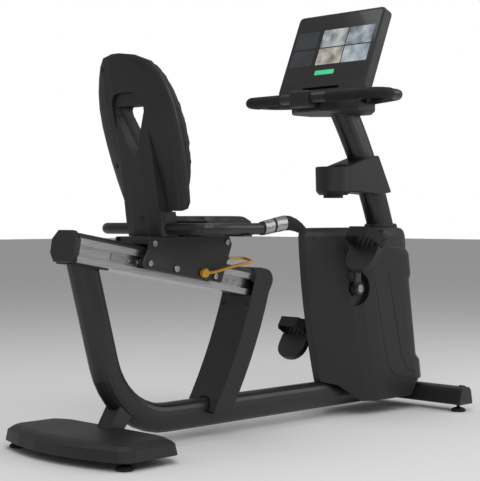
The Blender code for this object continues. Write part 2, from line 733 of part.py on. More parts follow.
def carriage_roller(name, spot, side):
    """Roller that runs in the rail's channel, made with its axle stub."""
    inner = side * (RAIL_WIDTH / 2 - CHANNEL_DEPTH + 0.0038)
    face = side * (RAIL_WIDTH / 2 - CHANNEL_DEPTH + 0.0038 + ROLLER_WIDTH)
    tip = side * (PLATE_Y + PLATE_THICKNESS + 0.001)
    profile = [(ROLLER_RADIUS - 0.001, 0.0), (ROLLER_RADIUS, 0.001), (ROLLER_RADIUS, abs(face - inner) - 0.001),
               (ROLLER_RADIUS - 0.001, abs(face - inner)), (ROLLER_AXLE_RADIUS, abs(face - inner)),
               (ROLLER_AXLE_RADIUS, abs(tip - inner))]
    centre = spot + Vector((0, inner, 0))
    return turned(name, profile, centre, Vector((0, side, 0)), "black_plastic", at=spot, sides=20)


LOCK_PIN_BODY = 0.0075

def lock_pin():
    """Sprung pin with a collar outside the right plate; its tip stands at the rack's face."""
    spot = on_rail(pin_along(), CHANNEL_BOTTOM + CHANNEL_HEIGHT / 2)
    web = RAIL_WIDTH / 2 - CHANNEL_DEPTH
    inner, shoulder = web + 0.0036, web + 0.0065
    outer = PLATE_Y + PLATE_THICKNESS
    profile = [(LOCK_PIN_RADIUS, inner), (LOCK_PIN_RADIUS, shoulder), (LOCK_PIN_BODY, shoulder),
               (LOCK_PIN_BODY, outer + 0.001), (0.010, outer + 0.001), (0.010, outer + 0.006), (0.008, outer + 0.0075)]
    return turned("lock_pin", profile, spot, Vector((0, -1, 0)), "steel", at=spot, sides=16)


LEVER_SHAFT_RADIUS = 0.005
LEVER_ROD_RADIUS = 0.0046

def lever_hub():
    return on_rail(CARRIAGE_START + 0.2120, CHANNEL_BOTTOM + 0.0190)


def adjust_lever():
    """Bent rod that the rider lifts; its hub turns on a shaft through the right plate."""
    hub = lever_hub()
    outer = PLATE_Y + PLATE_THICKNESS
    profile = [(LEVER_SHAFT_RADIUS, PLATE_Y - 0.004), (LEVER_SHAFT_RADIUS, outer + GAP), (0.0125, outer + GAP),
               (0.0135, outer + 0.002), (0.0135, outer + 0.013), (0.0115, outer + 0.015)]
    lever = turned("adjust_lever", profile, hub, Vector((0, -1, 0)), "orange_plastic", at=hub, sides=20)
    route = [hub + Vector((0.000, -outer - 0.008, 0.000)), hub + Vector((0.030, -outer - 0.016, 0.002)),
             hub + Vector((0.090, -outer - 0.030, 0.017)), hub + Vector((0.163, -outer - 0.044, 0.031)),
             hub + Vector((0.196, -0.050, 0.040)), hub + Vector((0.120, -0.0585, 0.040))]
    arm = sweep("lever_arm", rounded_path(route, [0.03, 0.05, 0.014, 0.012], radians(20.0)),
                round_section(LEVER_ROD_RADIUS, 10), (0, 0, 1), "orange_plastic", at=hub)
    return weld(lever, arm)


# ---------------------------------------------------------------------- seat

SEAT_BAR_FORWARD = 0.066         # bar's rear run from the carriage's rear end
GRIP_FORWARD = 0.271             # grip's rear end from the carriage's rear end
seat_bar_z = SEAT_TOP - 0.031


def seat_bar_path():
    x, y = carriage_rear.x + SEAT_BAR_FORWARD, SEAT_BAR_HALF_WIDTH
    front = carriage_rear.x + GRIP_FORWARD
    points = [(front, y, seat_bar_z), (x, y, seat_bar_z), (x, -y, seat_bar_z), (front, -y, seat_bar_z)]
    return rounded_path(points, [0.060, 0.060], radians(18.0))


def seat_handlebar():
    return sweep("seat_handlebar", seat_bar_path(), round_section(SEAT_BAR_RADIUS), (0, 0, 1), "black_paint")


def hand_grip(side, name):
    """Moulded grip that rises towards its front end and then drops."""
    start = carriage_rear.x + GRIP_FORWARD + GAP
    shape = [(0.000, 0.000, 0.0185), (0.006, 0.001, 0.0205), (0.030, 0.005, 0.0210), (0.065, 0.011, 0.0220),
             (0.100, 0.016, 0.0225), (0.125, 0.016, 0.0215), (0.150, 0.010, 0.0195), (0.172, 0.001, 0.0165),
             (0.188, -0.006, 0.0120), (0.196, -0.009, 0.0060)]
    rings = []
    for along, rise, radius in shape:
        x = start + along * SEAT_GRIP_LENGTH / 0.196
        rings.append([(x, side * SEAT_BAR_HALF_WIDTH + radius * 0.88 * cos(turn), seat_bar_z + rise + radius * sin(turn))
                      for turn in (2 * pi * i / 16 for i in range(16))])
    return solid(name, rings, "black_rubber")


COLUMN_HALF_WIDTH = 0.081
COLUMN_DEPTH = 0.072

def column_rear(z):
    """Rear face of the seat column in X, which leans back as it rises."""
    return carriage_rear.x + 0.0252 + (SEAT_TOP - z) * 0.144


def column_ring(z, half, depth, corner=0.016, crown=0.008):
    rear = column_rear(z)
    flat = [(rear + crown, half), (rear, half * 0.45), (rear, -half * 0.45), (rear + crown, -half),
            (rear + depth, -half * 0.94), (rear + depth, half * 0.94)]
    return [(x, y, z) for x, y in rounded_outline(flat, [corner, 0.02, 0.02, corner, 0.006, 0.006], radians(30.0))]


def back_edge(z):
    """Side edge of the back shell: (X of the edge, half-width) at height z over the seat top."""
    t = min(max((z - SEAT_TOP - 0.020) / (BACK_HEIGHT + 0.010), 0.0), 1.0)
    if t < BACK_WIDEST:
        half = BACK_HALF_WIDTH - 0.0325 * (1 - t / BACK_WIDEST) ** 2
    else:
        half = BACK_HALF_WIDTH - 0.0767 * ((t - BACK_WIDEST) / (1 - BACK_WIDEST)) ** 2
    return carriage_rear.x + 0.0888 - BACK_LEAN * t, half


SHELL_SWEEP = 0.032

def shell_x(y, z):
    """Rear surface of the back shell, which sweeps forward at its sides."""
    edge, half = back_edge(z)
    return edge - SHELL_SWEEP * (1 - min(abs(y) / half, 1.0) ** 3)


def pad_front(z):
    """Front edge of the back pad: upright up to the lumbar part, leaning back above it."""
    over = max(z - SEAT_TOP - LUMBAR_HEIGHT, 0.0) / (BACK_HEIGHT - LUMBAR_HEIGHT)
    under = max(SEAT_TOP + LUMBAR_HEIGHT - z, 0.0) / LUMBAR_HEIGHT
    return carriage_rear.x + 0.0940 - 0.098 * over ** 1.5 - 0.010 * under * under


def back_outline(inset, count=14):
    """(half-width, z) pairs up one side of the back, with rounded top and bottom corners."""
    low, high = SEAT_TOP + 0.020 + inset, SEAT_TOP + 0.016 + BACK_HEIGHT - inset
    pairs = []
    for i in range(count):
        t = i / (count - 1)
        z = low + (high - low) * (0.5 - 0.5 * cos(pi * t))
        half = back_edge(z)[1] - inset
        end = min(z - low, 10.0)
        top = high - z
        if end < 0.022:
            half -= 0.022 - sqrt(0.022 ** 2 - (0.022 - end) ** 2)
        if top < BACK_CROWN:
            half *= 0.16 + 0.84 * sqrt(max(1 - (1 - top / BACK_CROWN) ** 2.4, 0.0))
        pairs.append((half, z))
    return pairs


ACROSS = [-1.0, -0.93, -0.8, -0.6, -0.3, 0.0, 0.3, 0.6, 0.8, 0.93, 1.0]

def back_solid(name, finish, inset, rear, front):
    """A closed slab over the back's outline between two surfaces x = f(y, z)."""
    bm = bmesh.new()
    layers = []
    for surface in (rear, front):
        layer = []
        for half, z in back_outline(inset):
            layer.append([bm.verts.new((surface(half * a, z), half * a, z)) for a in ACROSS])
        layers.append(layer)
    rows, columns = len(layers[0]), len(ACROSS)
    for layer in layers:
        for i in range(rows - 1):
            for j in range(columns - 1):
                bm.faces.new((layer[i][j], layer[i][j + 1], layer[i + 1][j + 1], layer[i + 1][j]))
    rim = [(0, j) for j in range(columns)] + [(i, columns - 1) for i in range(1, rows)]
    rim += [(rows - 1, j) for j in range(columns - 2, -1, -1)] + [(i, 0) for i in range(rows - 2, 0, -1)]
    for (i, j), (k, m) in zip(rim, rim[1:] + rim[:1]):
        bm.faces.new((layers[0][i][j], layers[0][k][m], layers[1][k][m], layers[1][i][j]))
    bmesh.ops.recalc_face_normals(bm, faces=bm.faces)
    mesh = bpy.data.meshes.new(name)
    bm.to_mesh(mesh)
    bm.free()
    return place(name, mesh, finish)


HUMP_HALF_WIDTH = 0.074
HUMP_TOP = 0.356                 # hump's arch over the seat top
HUMP_REACH = 0.028               # hump's front, ahead of the shell's rear surface
HAND_HOLE_TOP = 0.320
HAND_HOLE_HEIGHT = 0.138
HAND_HOLE_HALF = 0.060

def hump_outline(clearance=0.0):
    """Arched outline, in Y and Z, of the column where it stands in the back shell."""
    half, top = HUMP_HALF_WIDTH + clearance, SEAT_TOP + HUMP_TOP + clearance
    low = SEAT_TOP - 0.10
    corners = [(half + 0.005, low), (half - 0.008, top), (-half + 0.008, top), (-half - 0.005, low)]
    return rounded_outline(corners, [0.0, 0.040, 0.040, 0.0])


def hand_hole(name, clearance=0.0):
    """Three-sided hand opening through the seat back."""
    top = SEAT_TOP + HAND_HOLE_TOP + clearance
    half = HAND_HOLE_HALF + clearance
    corners = [(-half, top), (half, top), (half, top - 0.018), (0.012, top - HAND_HOLE_HEIGHT - clearance),
               (-0.012, top - HAND_HOLE_HEIGHT - clearance), (-half, top - 0.018)]
    outline = rounded_outline(list(reversed(corners)), 0.008, radians(30.0))
    return prism(name, outline, "X", carriage_rear.x - 0.20, carriage_rear.x + 0.30, "steel")


def hump_form(name, grow=0.0):
    """Arched upper part of the column, which fills the slot in the back shell."""
    crowns = ((-0.09, 0.014), (-0.066, 0.003), (-0.03, 0.0), (0.03, 0.0), (0.066, 0.003), (0.09, 0.014))
    rings = []
    for rise in (-0.02, 0.06, 0.14, 0.22, 0.29, HUMP_TOP + 0.05):
        z = SEAT_TOP + rise
        ring = [(column_rear(z) + crown - grow, y, z) for y, crown in crowns]
        rings.append(ring + [(shell_x(0.0, z) + HUMP_REACH + grow, y, z) for y in (0.09, -0.09)])
    form = solid(name, rings, "black_plastic")
    arch = prism(f"{name}_arch", hump_outline(grow), "X", carriage_rear.x - 0.2, carriage_rear.x + 0.3, "steel")
    return shape_by(form, arch, "INTERSECT")


def seat_column():
    """Column from the carriage up into the back; one moulding over a steel post."""
    low, high = deck_z + GAP, SEAT_TOP + 0.018
    rings = [column_ring(low, COLUMN_HALF_WIDTH, COLUMN_DEPTH), column_ring(high, COLUMN_HALF_WIDTH, COLUMN_DEPTH)]
    column = solid("seat_column", rings, "black_plastic")
    weld(column, hump_form("column_hump"))
    bar = sweep("seat_bar_room", seat_bar_path(), round_section(SEAT_BAR_RADIUS + GAP), (0, 0, 1), "steel")
    return carve(column, bar, hand_hole("column_hand_hole"))


def back_shell():
    """Rear shell of the back, with a slot for the column's hump."""
    shell = back_solid("back_shell", "black_plastic", 0.0, shell_x,
                       lambda y, z: shell_x(y, z) + BACK_SHELL_THICKNESS)
    slot = prism("hump_slot", hump_outline(0.0008), "X", carriage_rear.x - 0.2, carriage_rear.x + 0.3, "steel")
    return carve(shell, slot)


def pad_surface(y, z):
    edge, half = back_edge(z)
    share = min(abs(y) / half, 1.0)
    return max(pad_front(z) + 0.004 * (1 - share ** 2), shell_x(y, z) + BACK_SHELL_THICKNESS + 0.012)


def back_pad():
    """Padded front of the back."""
    pad = back_solid("back_pad", "black_vinyl", 0.002,
                     lambda y, z: shell_x(y, z) + BACK_SHELL_THICKNESS + 0.0018, pad_surface)
    return carve(pad, hump_form("pad_hump_room", 0.0006), hand_hole("pad_hand_hole", 0.003))


def seat_outline(inset):
    """Plan of the seat cushion: straight at the back, round at the front."""
    x = carriage_rear.x + 0.116
    half, length = CUSHION_HALF_WIDTH - inset, CUSHION_LENGTH - 2 * inset
    corners = [(x + inset, -half), (x + inset + length, -half), (x + inset + length, half), (x + inset, half)]
    return rounded_outline(corners, [0.030, half * 0.93, half * 0.93, 0.030], radians(15.0))


def seat_pan():
    """Moulded pan under the cushion, with an ear under each side of the seat bar."""
    low, high = deck_z + GAP, deck_z + GAP + SEAT_PAN_THICKNESS
    pan = prism("seat_pan", seat_outline(0.006), "Z", low, high, "black_plastic", edge=0.003, steps=1)
    x = carriage_rear.x + 0.190
    ear_top = seat_bar_z - SEAT_BAR_RADIUS - GAP
    ears = block("pan_ears", (x, -SEAT_BAR_HALF_WIDTH - 0.012, low), (x + 0.035, SEAT_BAR_HALF_WIDTH + 0.012, ear_top),
                 "black_plastic")
    return weld(pan, ears)


def seat_cushion():
    low = deck_z + 2 * GAP + SEAT_PAN_THICKNESS
    return prism("seat_cushion", seat_outline(0.0), "Z", low, SEAT_TOP, "black_vinyl", edge=0.010, steps=2)


# -------------------------------------------------------------------- shroud

BEAM_TOP = BEAM_BOTTOM + BEAM_HEIGHT
BROW = 0.012                     # the front face steps out by this under the top
TOE = 0.018                      # and by this at its foot


def shroud_nose_x(z):
    """Rear edge of the shroud: it leans back and bows a little."""
    t = (z - BEAM_TOP) / (SHROUD_TOP - BEAM_TOP)
    return FRONT_GROUP + SHROUD_NOSE_X - SHROUD_NOSE_LEAN * t - 0.058 * t * (1 - t)


def shroud_front_x(z):
    t = (z - BEAM_TOP) / (SHROUD_TOP - BEAM_TOP)
    brow = BROW if 0.460 < z < 0.548 else BROW + 0.014 * t if z > SHROUD_SPLIT - 0.009 else 0.0
    toe = TOE if 0.100 < z < 0.180 else 0.0
    return FRONT_GROUP + SHROUD_FRONT_X - SHROUD_FRONT_LEAN * t + brow + toe


def bow_half(ahead):
    """Half-width of the shroud a given distance ahead of its nose."""
    run = 0.222
    t = min(ahead / run, 1.0)
    return SHROUD_NOSE_HALF + (SHROUD_HALF_WIDTH - SHROUD_NOSE_HALF) * (2 * t - t * t)


def shroud_ring(z, inset, level=None):
    nose, front = shroud_nose_x(z) + inset, shroud_front_x(z) - inset
    long = 2.1 if z > SHROUD_SPLIT - 0.009 else 1.0
    side = []
    for ahead in (0.0, 0.020, 0.050, 0.085, 0.125, 0.170, 0.222):
        side.append((nose + ahead, bow_half(ahead) - inset * (1.0 if ahead else 0.6)))
    half = SHROUD_HALF_WIDTH - inset
    corner = min(SHROUD_CORNER - inset * 0.5, half - 0.006)
    for i in range(6):
        turn = pi / 2 * i / 5
        side.append((front - corner * long * (1 - sin(turn)), half - corner + corner * cos(turn)))
    height = z if level is None else level
    return [(x, y, height) for x, y in side] + [(x, -y, height) for x, y in reversed(side)]


def shroud_form(name, inset, base):
    """The shroud's closed outer form, or the same form moved inward."""
    heights = [base, 0.0995, 0.1035, 0.165, 0.1850, 0.28, 0.38, 0.445, 0.466, 0.538, 0.5520, SHROUD_SPLIT, 0.600]
    rings = [shroud_ring(z, inset) for z in heights]
    rings += [shroud_ring(SHROUD_TOP - 0.012, inset + 0.003, SHROUD_TOP - 0.012 - inset),
              shroud_ring(SHROUD_TOP - 0.003, inset + 0.010, SHROUD_TOP - 0.003 - inset),
              shroud_ring(SHROUD_TOP, inset + 0.019, SHROUD_TOP - inset)]
    return solid(name, rings, "black_plastic")


def shroud_under_cut(name):
    """Room under the shroud: it ends on the beam at the nose and round the beam further on."""
    nose, front = FRONT_GROUP + SHROUD_NOSE_X - 0.2, FRONT_GROUP + SHROUD_FRONT_X + 0.2
    outline = [(nose, -0.1), (front, -0.1), (front, 0.092), (FRONT_FEET_X - 0.035, 0.092),
               (FRONT_FEET_X - 0.075, SHROUD_BASE), (crank_x + 0.050, SHROUD_BASE),
               (crank_x - 0.030, BEAM_TOP - 0.012), (nose + 0.190, BEAM_TOP + 0.003), (nose, BEAM_TOP + 0.003)]
    return prism(name, outline, "Y", -0.3, 0.3, "steel")


def dish_room(name, side, floor, grow):
    near, far = side * floor, side * 0.2
    return rod(name, DISH_RADIUS + grow, (crank_x, near, CRANK_Z), (crank_x, far, CRANK_Z), "steel", sides=40)


def shroud_hollow(name):
    hollow = shroud_form(name, SHROUD_WALL, -0.05)
    for side in (-1, 1):
        carve(hollow, dish_room(f"{name}_dish_{side}", side, DISH_FLOOR - SHROUD_WALL, SHROUD_WALL))
    return hollow


def slab(name, low, high):
    return block(name, low, high, "steel")


def shroud_shell(side, name):
    """Right or left half of the shroud, with the dish for the crank."""
    shell = shroud_form(name, 0.0, 0.020)
    shell = carve(shell, shroud_hollow(f"{name}_hollow"), shroud_under_cut(f"{name}_under"))
    low_y, high_y = (-0.5, GAP / 2) if side > 0 else (-GAP / 2, 0.5)
    carve(shell, slab(f"{name}_other_half", (-2, low_y, -1), (3, high_y, 2)),
          slab(f"{name}_over", (-2, -0.5, SHROUD_SPLIT - GAP / 2), (3, 0.5, 2)),
          nose_room(f"{name}_nose_room", GAP),
          dish_room(f"{name}_dish", side, DISH_FLOOR, 0.0),
          rod(f"{name}_axle_hole", 0.024, (crank_x, side * 0.05, CRANK_Z), (crank_x, side * 0.2, CRANK_Z), "steel"),
          frame_tube(f"{name}_beam_cut", 0.001))
    return shell


def nose_room(name, clearance):
    """Region of the narrow strip that closes the shroud's rear."""
    edge = [(shroud_nose_x(z), z) for z in (0.0, 0.12, 0.2, 0.3, 0.4, 0.5, SHROUD_SPLIT + 0.001)]
    depth = 0.012
    outline = [(x + depth + clearance, z) for x, z in edge] + [(x - 0.05, z) for x, z in reversed(edge)]
    half = SHROUD_NOSE_HALF - 0.002 + clearance
    return prism(name, outline, "Y", -half, half, "steel")


def shroud_nose():
    strip = shroud_form("shroud_nose", 0.0, 0.020)
    shape_by(strip, nose_room("nose_strip_region", 0.0), "INTERSECT")
    hollow = shroud_form("nose_hollow", 0.004, -0.05)
    return carve(strip, hollow, slab("nose_over", (-2, -0.5, SHROUD_SPLIT - GAP / 2), (3, 0.5, 2)),
                 shroud_under_cut("nose_under"), frame_tube("nose_beam_cut", 0.001))


def mast_section_at(t, grow=0.0):
    """Ring of the mast's section at a share t of its height; rounded blade shape."""
    foot, head = Vector(MAST_FOOT), Vector(MAST_HEAD)
    chord = head - foot
    sag = chord.length_squared / (8 * MAST_BOW)
    side = Vector((chord.y, -chord.x)).normalized()
    centre = foot + chord * t + side * sag * 4 * t * (1 - t)
    run = (chord.normalized() + side * (4 * sag * (1 - 2 * t) / chord.length)).normalized()
    front = Vector((run.y, -run.x))
    ring = []
    for a, b in oval(MAST_DEPTH + 2 * grow, MAST_WIDTH + 2 * grow, 2.5, 24):
        ring.append((FRONT_GROUP + centre.x + front.x * a, b, centre.y + front.y * a))
    return ring


def mast_form(name, grow=0.0, finish="black_paint", low=0.0, high=1.0):
    steps = [low + (high - low) * i / 10 for i in range(11)]
    return solid(name, [mast_section_at(t, grow) for t in steps], finish)


def console_mast():
    mast = mast_form("console_mast", 0.0, "black_paint", -0.12, 1.12)
    return carve(mast, slab("mast_foot_cut", (-2, -0.5, 0), (3, 0.5, MAST_FOOT[1])),
                 slab("mast_head_cut", (-2, -0.5, TRAY_BOTTOM - GAP), (3, 0.5, 2)))


def shroud_top():
    """Cover that closes the shroud's top round the mast."""
    cover = shroud_form("shroud_top", 0.0, 0.020)
    carve(cover, shroud_form("top_hollow", SHROUD_WALL, -0.05),
          slab("top_under", (-2, -0.5, 0), (3, 0.5, SHROUD_SPLIT + GAP / 2)))
    low, high = SHROUD_TOP - SHROUD_WALL, SHROUD_TOP + COLLAR_HEIGHT
    t = (SHROUD_TOP - MAST_FOOT[1]) / (MAST_HEAD[1] - MAST_FOOT[1])
    collar = solid("mast_collar", [flat_ring(t, 0.012, low), flat_ring(t, 0.012, high - 0.006),
                                   flat_ring(t, 0.007, high)], "black_plastic")
    return carve(weld(cover, collar), mast_form("mast_hole", 0.0012, "steel", -0.3, 0.3))


COLLAR_HEIGHT = 0.014

def flat_ring(t, grow, z):
    """The mast's section cut level, which is longer than its square cut."""
    ring = mast_section_at(t, grow)
    middle = sum(p[0] for p in ring) / len(ring)
    stretch = 1 / cos(radians(20.0))
    return [(middle + (x - middle) * stretch, y, z) for x, y, _ in ring]


# --------------------------------------------------------------------- drive

crank_spot = Vector((crank_x, 0, CRANK_Z))
flywheel_spot = Vector((FRONT_GROUP + FLYWHEEL_X, 0, FLYWHEEL_Z))
mast_foot_x = FRONT_GROUP + MAST_FOOT[0]


def drive_frame():
    """Upright plate on the beam with the crank's housing and the mast's seat."""
    half = BRACKET_PLATE / 2
    low = BEAM_TOP + GAP
    corners = [(crank_x + 0.055, low), (mast_foot_x + 0.040, low), (mast_foot_x + 0.022, 0.40),
               (mast_foot_x + 0.032, 0.600), (mast_foot_x - 0.048, 0.600), (mast_foot_x - 0.105, 0.500),
               (crank_x - 0.024, CRANK_Z + 0.024), (crank_x - 0.024, CRANK_Z - 0.024), (crank_x + 0.080, 0.250)]
    plate = prism("drive_frame", rounded_outline(corners, [0.0, 0.0, 0.03, 0.002, 0.002, 0.03, 0.02, 0.02, 0.05]),
                  "Y", -half, half, "black_paint")
    foot = block("drive_frame_foot", (crank_x + 0.055, -0.016, low), (mast_foot_x + 0.040, 0.016, low + 0.010), "black_paint")
    seat = block("mast_seat", (mast_foot_x - 0.046, -0.024, 0.596), (mast_foot_x + 0.032, 0.024, MAST_FOOT[1] - GAP),
                 "black_paint")
    housing = rod("crank_housing", 0.027, crank_spot + Vector((0, -0.070, 0)), crank_spot + Vector((0, 0.012, 0)),
                  "black_paint", sides=28)
    hub = rod("flywheel_housing", 0.016, flywheel_spot + Vector((0, -0.024, 0)), flywheel_spot + Vector((0, 0.010, 0)),
              "black_paint", sides=20)
    weld(plate, foot, seat, housing, hub)
    crank_bore = rod("crank_bore", CRANK_BEARING_RADIUS + GAP, crank_spot + Vector((0, -0.1, 0)),
                     crank_spot + Vector((0, 0.1, 0)), "steel", sides=28)
    hub_bore = rod("flywheel_bore", 0.0083, flywheel_spot + Vector((0, -0.1, 0)), flywheel_spot + Vector((0, 0.1, 0)),
                   "steel", sides=20)
    window = rod("plate_window", 0.045, flywheel_spot + Vector((-0.050, -0.1, 0.115)),
                 flywheel_spot + Vector((-0.050, 0.1, 0.115)), "steel", sides=24)
    return carve(plate, crank_bore, hub_bore, window)


def crank_bearing():
    """Sealed bearing cartridge in the crank's housing."""
    bore, outer = AXLE_RADIUS + GAP, CRANK_BEARING_RADIUS
    profile = [(bore, -0.068), (outer, -0.068), (outer, 0.010), (bore, 0.010)]
    rings = []
    for radius, distance in profile:
        rings.append([crank_spot + Vector((radius * cos(2 * pi * i / 24), distance, radius * sin(2 * pi * i / 24)))
                      for i in range(24)])
    return solid("crank_bearing", rings, "steel", crank_spot, closed=True)


def crank_axle():
    profile = [(AXLE_RADIUS * 0.8, -0.1180), (AXLE_RADIUS, -0.1160), (AXLE_RADIUS, 0.1160), (AXLE_RADIUS * 0.8, 0.1180)]
    return turned("crank_axle", profile, crank_spot, "Y", "steel", sides=20)


def drive_pulley():
    """Grooved pulley with three windows, on the crank axle."""
    low, high = PULLEY_Y - PULLEY_WIDTH / 2, PULLEY_Y + PULLEY_WIDTH / 2
    lip = PULLEY_RADIUS + 0.003
    profile = [(lip, low), (lip, low + 0.001), (PULLEY_RADIUS, low + 0.0014), (PULLEY_RADIUS, high - 0.0014),
               (lip, high - 0.001), (lip, high)]
    pulley = turned("drive_pulley", profile, crank_spot, "Y", "black_plastic", sides=40)
    bore = rod("pulley_bore", AXLE_RADIUS + GAP, crank_spot + Vector((0, -0.05, 0)), crank_spot + Vector((0, 0.1, 0)),
               "steel", sides=20)
    carve(pulley, bore)
    for i in range(3):
        turn = 2 * pi * i / 3 + 0.5
        spot = crank_spot + 0.056 * Vector((cos(turn), 0, sin(turn)))
        carve(pulley, rod(f"pulley_window_{i}", 0.024, spot + Vector((0, -0.05, 0)), spot + Vector((0, 0.1, 0)),
                          "steel", sides=20))
    return pulley


def flywheel():
    """Heavy disc and its small belt pulley on one shaft."""
    low, high = FLYWHEEL_Y - FLYWHEEL_WIDTH / 2, FLYWHEEL_Y + FLYWHEEL_WIDTH / 2
    web_low, web_high = FLYWHEEL_Y - 0.005, FLYWHEEL_Y + 0.005
    rim = FLYWHEEL_RADIUS - 0.022
    p_low, p_high = PULLEY_Y - PULLEY_WIDTH / 2, PULLEY_Y + PULLEY_WIDTH / 2
    profile = [(0.018, low), (0.018, web_low), (rim, web_low), (rim, low), (FLYWHEEL_RADIUS, low),
               (FLYWHEEL_RADIUS, high), (rim, high), (rim, web_high), (0.008, web_high), (0.008, p_low - 0.001),
               (HUB_PULLEY_RADIUS + 0.0025, p_low - 0.001), (HUB_PULLEY_RADIUS, p_low + 0.0006),
               (HUB_PULLEY_RADIUS, p_high - 0.0006), (HUB_PULLEY_RADIUS + 0.0025, p_high + 0.001)]
    return turned("flywheel", profile, flywheel_spot, "Y", "cast_iron", sides=36)


def belt_loop(radius_grow, count=14):
    """Closed path in XZ round both pulleys, moved out from their grooves."""
    a, b = crank_spot, flywheel_spot
    ra, rb = PULLEY_RADIUS + radius_grow, HUB_PULLEY_RADIUS + radius_grow
    run = b - a
    distance = hypot(run.x, run.z)
    heading = atan2(run.z, run.x)
    lean = pi / 2 - (ra - rb) / distance - ((ra - rb) / distance) ** 3 / 6
    path = []
    for i in range(count + 1):
        turn = heading + lean + (2 * pi - 2 * lean) * i / count
        path.append((a.x + ra * cos(turn), a.z + ra * sin(turn)))
    for i in range(7):
        turn = heading - lean + 2 * lean * i / 6
        path.append((b.x + rb * cos(turn), b.z + rb * sin(turn)))
    return path


def drive_belt():
    low, high = PULLEY_Y - 0.0042, PULLEY_Y + 0.0042
    inner, outer = belt_loop(0.0006, 28), belt_loop(0.0006 + BELT_THICKNESS, 28)
    rings = []
    for (ix, iz), (ox, oz) in zip(inner, outer):
        rings.append([(ix, low, iz), (ox, low, oz), (ox, high, oz), (ix, high, iz)])
    return solid("drive_belt", rings, "black_rubber", closed=True)


BRAKE_PIVOT_OVER_RIM = 0.0309         # pivot from the flywheel's rim
BRAKE_PIVOT_LEAN = 0.4150             # its direction from upright, in radians
brake_reach = FLYWHEEL_RADIUS + BRAKE_PIVOT_OVER_RIM
BRAKE_PIVOT = Vector((brake_reach * sin(BRAKE_PIVOT_LEAN), 0, brake_reach * cos(BRAKE_PIVOT_LEAN)))

def brake_motor():
    """Small gear motor whose shaft carries the brake yoke."""
    spot = flywheel_spot + BRAKE_PIVOT
    half = BRACKET_PLATE / 2
    case = block("brake_motor", tuple(spot + Vector((-0.020, half + GAP, -0.020))),
                 tuple(spot + Vector((0.018, half + 0.034, 0.028))), "black_plastic", edge=0.003)
    return case


def rim_point(angle, over):
    """A point outside the flywheel's rim, at an angle up from the front."""
    reach = FLYWHEEL_RADIUS + over
    return flywheel_spot + Vector((reach * cos(angle), 0, reach * sin(angle)))


def brake_yoke():
    """Yoke with magnets each side of the flywheel's rim; it turns on the motor's shaft."""
    spot = flywheel_spot + BRAKE_PIVOT
    inner, outer = FLYWHEEL_Y + FLYWHEEL_WIDTH / 2 + 0.004, FLYWHEEL_Y - FLYWHEEL_WIDTH / 2 - 0.004
    sweep_angle = [radians(a) for a in (34, 50, 66)]
    def arc(radius):
        return [(flywheel_spot.x + radius * cos(a), flywheel_spot.z + radius * sin(a)) for a in sweep_angle]
    outline = arc(FLYWHEEL_RADIUS - 0.016) + list(reversed(arc(FLYWHEEL_RADIUS + 0.012)))
    yoke = prism("brake_yoke", outline, "Y", outer - 0.005, inner + 0.005, "steel", at=spot)
    sweep_angle = [radians(a) for a in (22, 36, 50, 64, 78)]
    slot_outline = arc(FLYWHEEL_RADIUS - 0.03) + list(reversed(arc(FLYWHEEL_RADIUS + 0.004)))
    slot = prism("yoke_slot", slot_outline, "Y", outer, inner, "steel")
    boss = rod("yoke_boss", 0.009, spot + Vector((0, outer - 0.004, 0)), spot + Vector((0, -BRACKET_PLATE / 2 - RUNNING_GAP, 0)),
               "steel", sides=20)
    arm_points = [spot + Vector((-0.008, 0, 0.0)), spot + Vector((0.008, 0, 0.0)),
                  rim_point(radians(44.3), 0.0137), rim_point(radians(61.0), 0.0094)]
    arm = prism("yoke_arm", [(p.x, p.z) for p in arm_points], "Y", outer - 0.004, inner + 0.004, "steel")
    return weld(carve(yoke, slot), arm, boss)


# ------------------------------------------------------------------- cranks

def crank_direction(side):
    """Unit vector along each arm: the right arm stands up and back, the left is opposite."""
    along = Vector((-sin(CRANK_ANGLE), 0, cos(CRANK_ANGLE)))
    return along if side < 0 else -along


def crank_arm(side, name):
    """Forged arm, bent outward so that it clears the shroud, with the pedal's axle."""
    along = crank_direction(side)
    across = Vector((along.z, 0, -along.x))
    half = ARM_THICKNESS / 2
    shape = [(0.000, 0.0185, 0.1100), (0.020, 0.0165, 0.1110), (0.050, 0.0150, 0.1190), (0.080, 0.0142, ARM_Y),
             (0.130, 0.0132, ARM_Y), (CRANK_LENGTH, 0.0128, ARM_Y)]
    rings = []
    for reach, wide, y in shape:
        centre = crank_spot + along * reach
        ring = []
        for a, b in oval(2 * wide, 2 * half, 4.0, 12):
            ring.append(centre + across * a + Vector((0, side * (y + b), 0)))
        rings.append(ring)
    arm = solid(name, rings, "black_paint", crank_spot)
    boss = rod(f"{name}_boss", 0.0215, crank_spot + Vector((0, side * 0.0965, 0)),
               crank_spot + Vector((0, side * 0.1195, 0)), "black_paint", sides=28)
    tip = crank_spot + along * CRANK_LENGTH
    eye = rod(f"{name}_eye", 0.0145, tip + Vector((0, side * (ARM_Y - half - 0.0005), 0)),
              tip + Vector((0, side * (ARM_Y + half + 0.001), 0)), "black_paint", sides=20)
    axle = rod(f"{name}_pedal_axle", 0.006, tip + Vector((0, side * ARM_Y, 0)),
               tip + Vector((0, side * (PEDAL_Y + PEDAL_WIDTH * 0.38), 0)), "steel", sides=16)
    weld(arm, boss, eye, axle)
    return carve(arm, rod(f"{name}_bore", AXLE_RADIUS + GAP, crank_spot + Vector((0, side * 0.05, 0)),
                          crank_spot + Vector((0, side * 0.1186, 0)), "steel", sides=20))


def pedal_spot(side):
    return crank_spot + crank_direction(side) * CRANK_LENGTH + Vector((0, side * PEDAL_Y, 0))


